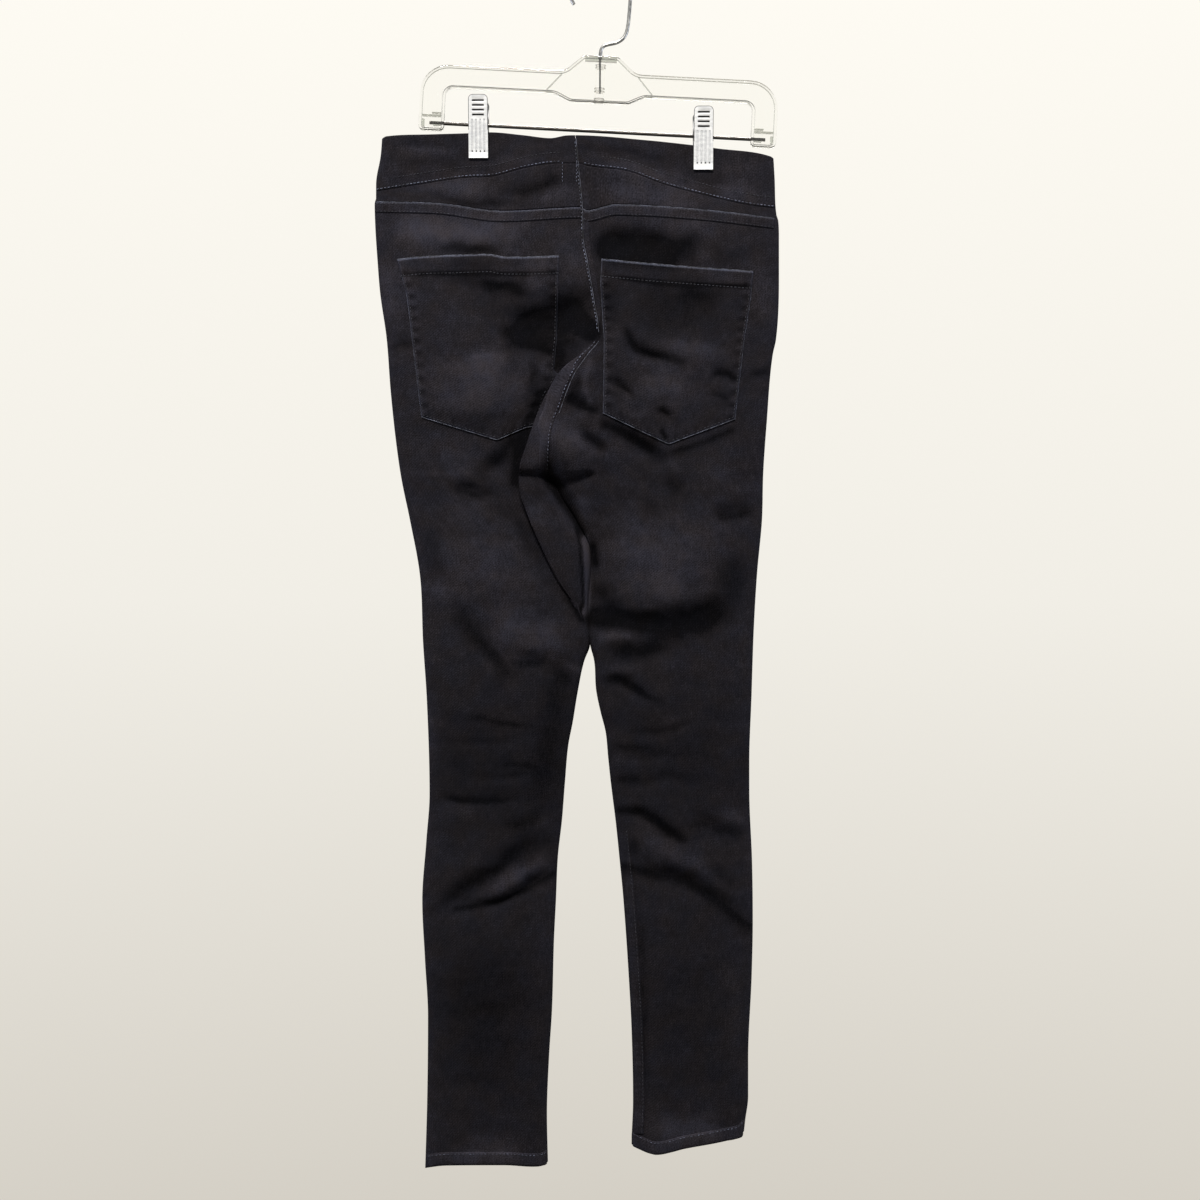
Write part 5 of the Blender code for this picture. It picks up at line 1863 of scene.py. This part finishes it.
@dataclass(frozen=True)
class Clip:
    """A sprung clip: two pressed plates with vent slots, grip channels and pinched jaws, and a coil."""

    side: Side
    x: float
    width: float = 17.2
    above: float = 24.2
    below: float = 30.2
    sheet: float = 0.8
    top_radius: float = 4.0
    jaw: float = 3.45
    open_top: float = 11.5
    slots: int = 4
    slot_width: float = 10.4
    slot_height: float = 1.5
    slot_pitch: float = 4.05
    slot_from_top: float = 5.2
    channels: tuple[float, ...] = (-5.4, -1.8, 1.8, 5.4)
    channel_width: float = 1.3
    channel_top: float = 3.2
    channel_bottom: float = -25.0
    hole: float = 1.5
    border: float = 0.45
    channel_depth: float = 0.5
    cheek_half: float = 6.0
    spring_radius: float = 2.9
    wire: float = 0.45
    turns: int = 9
    coil_steps: int = 16
    coil_pitch: float = 2.25
    # The flat spring behind the vents, the rolled jaw, the flat inset round a channel, the cheeks' ends and
    # the rounding of pressed edges.
    strip_margin: float = 1.2
    strip_gap: float = 0.2
    jaw_roll: float = 0.5
    jaw_roll_height: float = 1.6
    channel_inset: float = 0.25
    cheek_end: float = 0.3
    soft_edge: float = 0.3

    def centre(self, frame: ClearFrame) -> Vector:
        """Where the tilted bar passes through the clip, in millimetres."""
        along = self.x + frame.bar_below * math.sin(frame.tilt)
        z = frame.centre[2] - along * math.tan(frame.tilt) - frame.bar_below * math.cos(frame.tilt)
        return Vector((self.x, 0.0, z))

    def slot_bands(self) -> list[Pair]:
        """The bottom and top of each vent slot."""
        tops = [self.above - self.slot_from_top - i * self.slot_pitch for i in range(self.slots)]
        return [(z - self.slot_height / 2, z + self.slot_height / 2) for z in tops]

    def plate(self, frame: ClearFrame, face: Face) -> Object:
        """Makes one plate.

        Args:
            frame: The frame whose bar the clip hangs on.
            face: The side of the cloth that the plate presses on.

        Returns:
            The plate, with a live wall.
        """
        shape = bmesh.new()
        half = self.width / 2
        outline = [(-half, -self.below), (half, -self.below), (half, self.above), (-half, self.above)]
        verts = [shape.verts.new((x, 0, z)) for x, z in outline]
        shape.faces.new(verts)
        bmesh.ops.bevel(
            shape, geom=verts[2:], offset=self.top_radius, affect="VERTICES", segments=6, profile=0.5,
            material=-1,
        )
        # The pressed edges' border takes the dark second finish, a painted shade outline.
        rolled = bmesh.ops.inset_region(
            shape, faces=list(shape.faces), thickness=self.border, depth=0.0, use_even_offset=True,
            use_boundary=True,
        )["faces"]
        for border in rolled:
            border.material_index = 1
        marks = [edge for band in self.slot_bands() for edge in band]
        marks += [self.channel_top, self.channel_bottom, self.channel_bottom + self.hole]
        marks += [-self.cheek_half, self.cheek_half]
        for z in marks:
            self.score(shape, (0, 0, z), (0, 0, 1))
        sides = [-self.slot_width / 2, self.slot_width / 2]
        sides += [x + way * self.channel_width / 2 for x in self.channels for way in (-1, 1)]
        for x in sides:
            self.score(shape, (x, 0, 0), (1, 0, 0))
        slots = [cell for cell in shape.faces if self.in_slot(cell.calc_center_median())]
        bmesh.ops.delete(shape, geom=slots, context="FACES")
        # Below the cheeks the border's painted shade outline goes back to the plated finish.
        for cell in shape.faces:
            if cell.calc_center_median().z < -self.cheek_half:
                cell.material_index = 0
        channels = [cell for cell in shape.faces if self.in_channel(cell.calc_center_median())]
        hole_top = self.channel_bottom + self.hole
        holes = [cell for cell in channels if cell.calc_center_median().z < hole_top]
        way = face.value
        bmesh.ops.inset_region(
            shape, faces=channels, thickness=self.channel_inset, depth=0.0, use_even_offset=True
        )
        # The holes at the channels' foot take the dark finish, painted shade.
        for cell in holes:
            cell.material_index = 1
        floor = {vert for cell in channels for vert in cell.verts}
        bmesh.ops.translate(shape, verts=list(floor), vec=(0, -way * self.channel_depth, 0))
        lean = (self.open_top - self.jaw) / (self.above + self.below)
        for vert in shape.verts:
            roll = self.jaw_roll * math.exp(-((vert.co.z + self.below) / self.jaw_roll_height))
            vert.co.y += way * (self.jaw + lean * (vert.co.z + self.below) + roll + self.sheet)
        bmesh.ops.recalc_face_normals(shape, faces=shape.faces)
        if sum(cell.normal.y for cell in shape.faces) * way < 0:
            bmesh.ops.reverse_faces(shape, faces=shape.faces)
        self.add_cheeks(shape, way)
        self.add_strip(shape, way, lean)
        placed = Matrix.Translation(self.centre(frame) * MM) @ Matrix.Scale(MM, 4)
        bmesh.ops.transform(shape, matrix=placed, verts=shape.verts)
        name = f"clip_plate_{self.side}_{face}"
        piece = piece_from(name, mesh_from(name, shape))
        wall = piece.modifiers.new("sheet", "SOLIDIFY")
        wall.thickness = self.sheet * MM
        wall.offset = -1.0
        # The plate's inside takes the nickel darkened as painted shade, and its cut rims the dark painted
        # shade finish.
        wall.material_offset = 2
        wall.material_offset_rim = 1
        rounding = piece.modifiers.new("pressed edges", "BEVEL")
        rounding.width = self.soft_edge * MM
        # The rounded pressed edges take the dark finish as a painted shade outline.
        rounding.material = 1
        rounding.segments = 2
        rounding.limit_method = "ANGLE"
        rounding.angle_limit = SHARP_ANGLE
        piece.data.set_sharp_from_angle(angle=SHARP_ANGLE)
        return piece

    def score(self, shape: BMesh, point: Sequence[float], normal: Sequence[float]) -> None:
        """Cuts a line across the plate, so that its slots and channels have edges."""
        everything = list(shape.verts) + list(shape.edges) + list(shape.faces)
        bmesh.ops.bisect_plane(shape, geom=everything, plane_co=point, plane_no=normal)

    def in_slot(self, point: Vector) -> bool:
        """Whether a place is in a vent slot."""
        level = any(low < point.z < high for low, high in self.slot_bands())
        return level and abs(point.x) < self.slot_width / 2

    def in_channel(self, point: Vector) -> bool:
        """Whether a place is in a grip channel."""
        near = any(abs(point.x - x) < self.channel_width / 2 for x in self.channels)
        return near and self.channel_bottom < point.z < self.channel_top

    def add_cheeks(self, shape: BMesh, way: int) -> None:
        """Folds a cheek in from each side of the plate, towards the bar.

        Args:
            shape: The plate.
            way: The way that it faces along Y.
        """
        for end in (-1, 1):
            edges = [
                edge for edge in shape.edges
                if edge.is_boundary and all(abs(v.co.x - end * self.width / 2) < 1e-4 for v in edge.verts)
                and all(abs(v.co.z) < self.cheek_half + 1e-3 for v in edge.verts)
            ]
            grown = bmesh.ops.extrude_edge_only(shape, edges=edges)["geom"]
            for vert in (item for item in grown if isinstance(item, BMVert)):
                vert.co.y = way * self.cheek_end

    def add_strip(self, shape: BMesh, way: int, lean: float) -> None:
        """Lays the flat spring close behind the vent slots, in the dark finish that makes the slots painted
        shade.

        Args:
            shape: The plate.
            way: The way that it faces along Y.
            lean: How far it opens for each millimetre of height.
        """
        low = self.slot_bands()[-1][0] - self.strip_margin
        high = self.slot_bands()[0][1] + self.strip_margin
        half = self.slot_width / 2 + self.strip_margin
        verts = []
        for x, z in ((-half, low), (half, low), (half, high), (-half, high)):
            off = self.jaw + lean * (z + self.below) - self.strip_gap
            verts.append(shape.verts.new((x, way * off, z)))
        strip = shape.faces.new(verts if way < 0 else verts[::-1])
        strip.material_index = 1

    def coil(self, frame: ClearFrame) -> Object:
        """Makes the coil spring round the bar, its two tails under the plates.

        Args:
            frame: The frame whose bar the clip hangs on.

        Returns:
            The coil.
        """
        turn = np.arange(self.turns * self.coil_steps + 1) / self.coil_steps
        length = self.turns * self.wire * self.coil_pitch
        points = np.stack(
            (turn / self.turns * length - length / 2, self.spring_radius * np.sin(2 * math.pi * turn),
             self.spring_radius * np.cos(2 * math.pi * turn)), -1
        )
        start = points[0] + np.array([[0.0, -5.2, 7.0], [0.0, -3.0, 2.5]])
        end = points[-1] + np.array([[0.0, 3.0, 2.5], [0.0, 5.2, 7.0]])
        place = Matrix.Translation(self.centre(frame) * MM) @ Matrix.Rotation(frame.tilt, 4, "Y")
        name = f"clip_coil_{self.side}"
        mesh = tube(name, np.vstack((start, points, end)) * MM, self.wire, 2)
        mesh.transform(place)
        return piece_from(name, mesh)


@dataclass(frozen=True)
class Studio:
    """The plain pale surroundings, the light from above and in front, and the photograph's camera."""

    scale: float = 0.89
    image: int = 1200
    above: float = 41.0
    lens: float = 50.0
    sensor: float = 36.0
    floor_z: float = -1.55
    floor_radius: float = 1.05
    top: str = "#fffcf4"
    middle: str = "#f1eee6"
    bottom: str = "#d2cdc3"
    spread: float = 0.36
    fill: float = 0.07
    warm: str = "#fff8f2"
    cool: str = "#e6ecff"

    def build(self) -> None:
        """Makes the whole surroundings."""
        self.add_camera()
        self.add_world()
        for name, place, aim, size, power, colour in (
            ("key", (-0.35, -1.9, 2.3), -0.55, (1.0, 0.5), 170.0, self.warm),
            ("left fill", (-1.9, -0.35, -0.3), -0.6, (0.6, 1.0), 26.0, self.cool),
            ("right fill", (1.9, -0.35, -0.3), -0.6, (0.6, 1.0), 26.0, self.cool),
            ("back light", (0.3, 2.2, 2.2), -0.55, (1.2, 0.6), 190.0, self.warm),
        ):
            self.add_light(name, place, aim, size, power, colour)
        self.add_floor()
        bpy.context.scene.view_settings.view_transform = "Standard"

    def add_camera(self) -> None:
        """Adds the level camera that sees the photograph's frame."""
        width = self.image * self.scale * MM
        centre = -(self.image / 2 + self.above) * self.scale * MM
        camera = bpy.data.cameras.new("camera")
        camera.lens, camera.sensor_width = self.lens, self.sensor
        holder = bpy.data.objects.new("camera", camera)
        holder.location = (0.0, -width * self.lens / self.sensor, centre)
        holder.rotation_euler = (math.pi / 2, 0.0, 0.0)
        bpy.context.scene.collection.objects.link(holder)
        bpy.context.scene.camera = holder

    def add_world(self) -> None:
        """Adds the pale surroundings, bright where they are seen and dim as a light on the cloth."""
        world = bpy.data.worlds.new("pale studio")
        world.use_nodes = True
        tree = world.node_tree
        tree.nodes.clear()
        place = add_node(tree, "TexCoord").outputs["Generated"]
        height = add_node(tree, "SeparateXYZ", {0: place}).outputs["Z"]
        share = add_node(
            tree, "MapRange", {"Value": height, "From Min": -self.spread, "From Max": self.spread}
        )
        colour = ramp(
            add_node(tree, "ValToRGB", {"Fac": share.outputs["Result"]}),
            ((0.0, self.bottom), (0.5, self.middle), (1.0, self.top)),
        )
        seen, cast = (
            add_node(tree, "Background", {"Color": colour, "Strength": strength}).outputs[0]
            for strength in (1.0, self.fill)
        )
        path = add_node(tree, "LightPath").outputs["Is Diffuse Ray"]
        mixed = add_node(tree, "MixShader", {0: path, 1: seen, 2: cast}).outputs[0]
        add_node(tree, "OutputWorld", {"Surface": mixed})
        bpy.context.scene.world = world

    def add_light(
        self, name: str, place: Sequence[float], aim: float, size: Pair, power: float,
        colour: str,
    ) -> None:
        """Adds a soft rectangular light.

        Args:
            name: Its name.
            place: Where it stands, in metres.
            aim: The height of the place on the Z axis that it faces.
            size: Its width and height.
            power: Its power in watts.
            colour: Its colour.
        """
        light = bpy.data.lights.new(name, "AREA")
        light.shape = "RECTANGLE"
        light.size, light.size_y = size
        light.energy = power
        light.color = linear(colour)[:3]
        holder = bpy.data.objects.new(name, light)
        holder.location = place
        run = Vector((0.0, 0.0, aim)) - Vector(place)
        holder.rotation_euler = run.to_track_quat("-Z", "Y").to_euler()
        holder.visible_transmission = False
        bpy.context.scene.collection.objects.link(holder)

    def add_floor(self) -> None:
        """Adds a round pale floor below the hem, clear of the camera's view."""
        shape = bmesh.new()
        bmesh.ops.create_circle(shape, cap_ends=True, segments=96, radius=self.floor_radius)
        bmesh.ops.translate(shape, verts=shape.verts, vec=(0, 0, self.floor_z))
        floor = piece_from("floor", mesh_from("floor", shape))
        made, tree, shader = blank_material("matt painted floor")
        place = add_node(tree, "TexCoord").outputs["Object"]
        mottle = add_node(tree, "TexNoise", {"Vector": place, "Scale": 3.0, "Detail": 2.0})
        colour = ramp(
            add_node(tree, "ValToRGB", {"Fac": mottle.outputs["Fac"]}),
            ((0.3, "#77736b"), (0.7, "#7f7b72")),
        )
        fill_inputs(tree, shader, {"Base Color": colour, "Roughness": 0.9})
        floor.data.materials.append(made)


GARMENT = Garment()
# How deep the hems are turned and how far below that they are stitched, how wide a felled seam is, the
# drops at which seams' ends are found, and where the inseam's fell shows.
HEM_LINE = 12.0
HEM_STITCHES = 1.7
FELL_WIDTH = 10.0
YOKE_DROP = 220.0
HEM_DROP = 1050.0
INSEAM_FELL = (775.0, 1046.0)
# The box stitched where the band's ends meet: low x, low drop, high x, high drop.
BOX = (-33.5, 180.0, -21.0, 199.0)

POCKETS = (
    Pocket(
        Side.LEFT,
        Reading.of((-181.6, 267.9), (-160.2, 265.4), (-128.0, 264.2), (-97.9, 263.4), (-84.0, 265.6),
                   (-60.0, 265.4), (-36.5, 264.5)),
        ((264.0, -181.2), (300.0, -171.8), (407.6, -158.7)),
        ((264.0, -36.8), (340.0, -38.3), (372.0, -41.5), (390.0, -52.0), (415.0, -61.5)),
        ((-158.7, 407.6), (-91.7, 428.1), (-61.5, 415.0)),
    ),
    Pocket(
        Side.RIGHT,
        Reading.of((0.9, 267.3), (44.5, 271.5), (95.0, 275.3), (136.7, 278.3)),
        ((267.0, 1.4), (289.3, 0.5), (339.1, 3.6), (404.1, 2.7)),
        ((267.0, 137.2), (302.6, 134.0), (339.1, 128.2), (409.4, 120.2)),
        ((2.7, 404.1), (61.1, 431.7), (120.2, 409.4)),
    ),
)


def panels() -> list[Panel]:
    """Lays out the cut pieces of cloth.

    Returns:
        The panels, from the waistband down.
    """
    gap = GARMENT.seam_gap
    made = [Panel("front_waistband_cloth", Face.FRONT, (Side.LEFT, Side.RIGHT), WAIST_TOP, FRONT_BAND_SEAM,
                  150, 32, 2.0)]
    for side in Side:
        left = side is Side.LEFT
        for name, face, top, bottom, *size in (
            ("back_waistband", Face.BACK, WAIST_TOP, BAND_SEAM, 110, 30, 2.0),
            ("back_yoke", Face.BACK, BAND_SEAM, YOKE_SEAM, 110, 26, 1.2, gap),
            ("back_leg", Face.BACK, YOKE_SEAM, HEM[side], 100 if left else 84, 390, 1.2, gap, left),
            ("front_leg", Face.FRONT, FRONT_BAND_SEAM, HEM[side], 64, 290, 1.2, gap),
        ):
            made.append(Panel(f"{name}_cloth_{side}", face, (side,), top, bottom, *size))
    return made


def stretch(side: Side, face: Face, drop: float) -> Pair:
    """Finds where a seam across one half starts and ends, just inside its panel's two edges.

    Args:
        side: The half of the garment.
        face: Its back or front.
        drop: The drop to find the edges at.

    Returns:
        The low x and the high x.
    """
    outer, inner = GARMENT.outer(side, drop), GARMENT.inner(side, face, drop)
    low, high = sorted((float(outer), float(inner)))
    return low + EDGE_INSET, high - EDGE_INSET


def half_line(side: Side, face: Face, seam: Reading, drop: float, off: float) -> Array:
    """A line along a seam across one half of the garment, moved down by an offset."""
    return seam_line(seam, *stretch(side, face, drop), off)


def ribbons() -> list[Ribbon]:
    """Lays out the felled seams and the turned hems.

    Returns:
        The ribbons.
    """
    made = []
    for side in Side:
        yoke = half_line(side, Face.BACK, YOKE_SEAM, YOKE_DROP, 0.4)
        band = half_line(side, Face.FRONT, FRONT_BAND_SEAM, YOKE_DROP, 0.6)
        made.append(Ribbon(f"yoke_fell_{side}", side, Face.BACK, yoke, FELL_WIDTH, rub_start=0.3))
        made.append(Ribbon(f"front_band_fell_{side}", side, Face.FRONT, band, FELL_WIDTH, rub_start=0.4))
        for face in Face:
            line = half_line(side, face, HEM[side], HEM_DROP, -HEM_LINE)
            made.append(Ribbon(f"hem_{face}_{side}", side, face, line, HEM_LINE - 0.4, lift=0.7,
                               rib_height=0.05, fade=0.12))
    for name, side, run, width, lift, rib_height, fade, widens in (
        ("centre_fell_left", Side.LEFT, (343.0, 455.0, -0.8), 8.0, 0.5, 0.04, 0.06, 40.0),
        ("centre_fell_right", Side.RIGHT, (329.0, 226.0, 0.8), 4.5, 0.5, 0.08, 0.06, 20.0),
        ("inseam_fell_right", Side.RIGHT, (*INSEAM_FELL, 10.5), 9.0, 0.7, 0.06, 0.05, 70.0),
    ):
        made.append(Ribbon(name, side, Face.BACK, inner_line(side, *run), width, lift=lift,
                           rib_height=rib_height, fade=fade, widens_over=widens))
    return made


def stitchings() -> list[Stitching]:
    """Lays out the rows of stitches.

    Returns:
        The stitchings, with the pale ones named for it.
    """
    made = []
    for side in Side:
        start, end = stretch(side, Face.BACK, YOKE_DROP)
        band_end = BOX[0] - 2.0 if side is Side.LEFT else end
        hem = (HEM[side], HEM_DROP, HEM_STITCHES - HEM_LINE)
        front = (FRONT_BAND_SEAM, YOKE_DROP)
        for name, face, lift, radius, lines in (
            ("pale_band", Face.BACK, 0.25, 0.4, [seam_line(BAND_SEAM, start, band_end, -1.6)]),
            ("band", Face.BACK, 0.25, 0.28, [seam_line(BAND_SEAM, start + 16, band_end, -9.5)]),
            ("yoke", Face.BACK, 0.85, 0.3, [seam_line(YOKE_SEAM, start, end, off) for off in (9.0, 2.2)]),
            ("pale_hem", Face.BACK, 0.7, 0.22, [half_line(side, Face.BACK, *hem)]),
            ("pale_front_hem", Face.FRONT, 0.75, 0.34, [half_line(side, Face.FRONT, *hem)]),
            ("front_band", Face.FRONT, 0.6, 0.34,
             [half_line(side, Face.FRONT, *front, off) for off in (-2.0, 9.0)]),
        ):
            made.append(
                Stitching(f"{name}_stitches_{side}", side, face, tuple(lines), radius=radius, lift=lift)
            )
    centre = (inner_line(Side.LEFT, 162.0, 330.0, -0.7), inner_line(Side.LEFT, 340.0, 455.0, -1.3))
    inseam = (inner_line(Side.RIGHT, *INSEAM_FELL, 9.0),)
    box = tuple(np.linspace((x, BOX[1]), (x, BOX[3]), 8) for x in (BOX[0], BOX[2]))
    made.append(Stitching("pale_centre_stitches", Side.LEFT, Face.BACK, centre))
    made.append(Stitching("inseam_stitches_right", Side.RIGHT, Face.BACK, inseam, lift=0.7, radius=0.2))
    made.append(Stitching("pale_box_stitches", Side.LEFT, Face.BACK, box, radius=0.24))
    for pocket in POCKETS:
        border = pocket.border()
        edge = tuple(beside(border[key], off) for key, off in (("low", -2.0), ("foot", -2.0), ("high", 2.0)))
        hem = (beside(border["top"], pocket.hem + 1.2),)
        made.append(Stitching(f"pocket_edge_stitches_{pocket.side}", pocket.side, Face.BACK, edge, lift=1.28,
                              radius=0.24))
        made.append(Stitching(f"pocket_hem_stitches_{pocket.side}", pocket.side, Face.BACK, hem, lift=1.35))
    return made


def edgings() -> list[Edging]:
    """Lays out the folded edges that have rubbed pale.

    Returns:
        The edgings.
    """
    made = []
    for pocket in POCKETS:
        side, border, left = pocket.side, pocket.border(), pocket.side is Side.LEFT
        start, end = stretch(side, Face.BACK, YOKE_DROP)
        yoke = seam_line(YOKE_SEAM, start, -90.0 if left else end, 0.6)
        for name, radius, lift, lines in (
            ("pocket_top", 0.38, 1.15, (border["top"],)),
            ("pocket_foot", 0.28, 0.8, (border["foot"],)),
            ("pocket_side", 0.11, 0.6, (border["low"],) if left else (border["low"], border["high"])),
            ("yoke", 0.26, 0.45, (yoke,)),
        ):
            made.append(Edging(f"{name}_edge_{side}", side, Face.BACK, lines, radius, lift))
    centre = (inner_line(Side.RIGHT, 160.0, 332.0, 0.2), inner_line(Side.RIGHT, 340.0, 404.0, 1.4))
    made.append(Edging("centre_seam_edge", Side.RIGHT, Face.BACK, centre, 0.26, 0.15))
    return made


def build_hanger(bar_node: Object) -> None:
    """Builds what holds the jeans, and gives the bar its finish.

    Args:
        bar_node: The bar's own node, which stays.
    """
    roll = (6.0, 2.0)
    plated = Metal("bright nickel-plated pressed steel", "#e0e3e8", "#fafcff", 0.36, roll, 0.01).build()
    # The dark finish is painted shade in the clip's slots, holes and pressed edges.
    shaded = Metal("bare spring steel behind the clip's slots", "#2a2a2b", "#48484a", 0.5).build()
    # The inside finish is the nickel darkened as painted shade.
    inside = Metal("nickel-plated steel inside the clip", "#6e7072", "#8b8d8f", 0.5, roll, 0.01).build()
    wire = Metal("zinc-plated drawn steel wire", "#5c5e60", "#9b9c9b", 0.34, (3.0, 3.0)).build()
    bar = Metal("dark drawn steel rod", "#201f1e", "#4a4846", 0.4, (25.0, 0.5)).build()
    frame = ClearFrame()
    arch = finish_piece(frame.build(), Styrene().build(), ("hanger_frame",))
    # The greyed copy of the polystyrene is a painted reflection on the walls and bars seen edge on.
    arch.data.materials.append(Styrene("clear polystyrene seen edge on", "#c6c9c3", 0.12).build())
    finish_piece(Hook().build(), wire, ("hanger_hook",))
    bar_node.material_slots[0].material = bar
    for side, x in zip(Side, GARMENT.clips):
        clip = Clip(side, x)
        for face in Face:
            plate = finish_piece(clip.plate(frame, face), plated, (f"clip_{side}_{face}",))
            plate.data.materials.append(shaded)
            plate.data.materials.append(inside)
        finish_piece(clip.coil(frame), plated, (f"clip_{side}_spring",))


def main() -> None:
    """Loads the frame and builds every piece round it."""
    logging.basicConfig(level=logging.INFO, format="%(name)s: %(message)s")
    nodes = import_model()["nodes"]
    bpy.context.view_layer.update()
    Studio().build()
    denim = Denim().build()
    dark_thread = Thread("black polyester thread", "#15151a", "#33343c").build()
    pale_thread = Thread("faded blue-grey polyester thread", "#25262d", "#6c7284").build()
    rubbed = Thread("denim rubbed pale along its fold", "#1b1c20", "#5c606d").build()
    for panel in panels():
        piece = finish_piece(panel.build(GARMENT), denim, (panel.name.replace("_cloth", ""),))
    for pocket in POCKETS:
        cloth = finish_piece(pocket.build(GARMENT), denim, (f"back_pocket_{pocket.side}",))
    sewn = {(side, face): [] for side in Side for face in Face}
    threads = ((item, pale_thread if item.name.startswith("pale") else dark_thread) for item in stitchings())
    for item, finish in (
        *((item, denim) for item in ribbons()), *threads, *((item, rubbed) for item in edgings())
    ):
        sewn[item.side, item.face].append(finish_piece(item.build(GARMENT), finish))
    build_hanger(nodes["hanger_bar"])


if __name__ == "__main__":
    main()
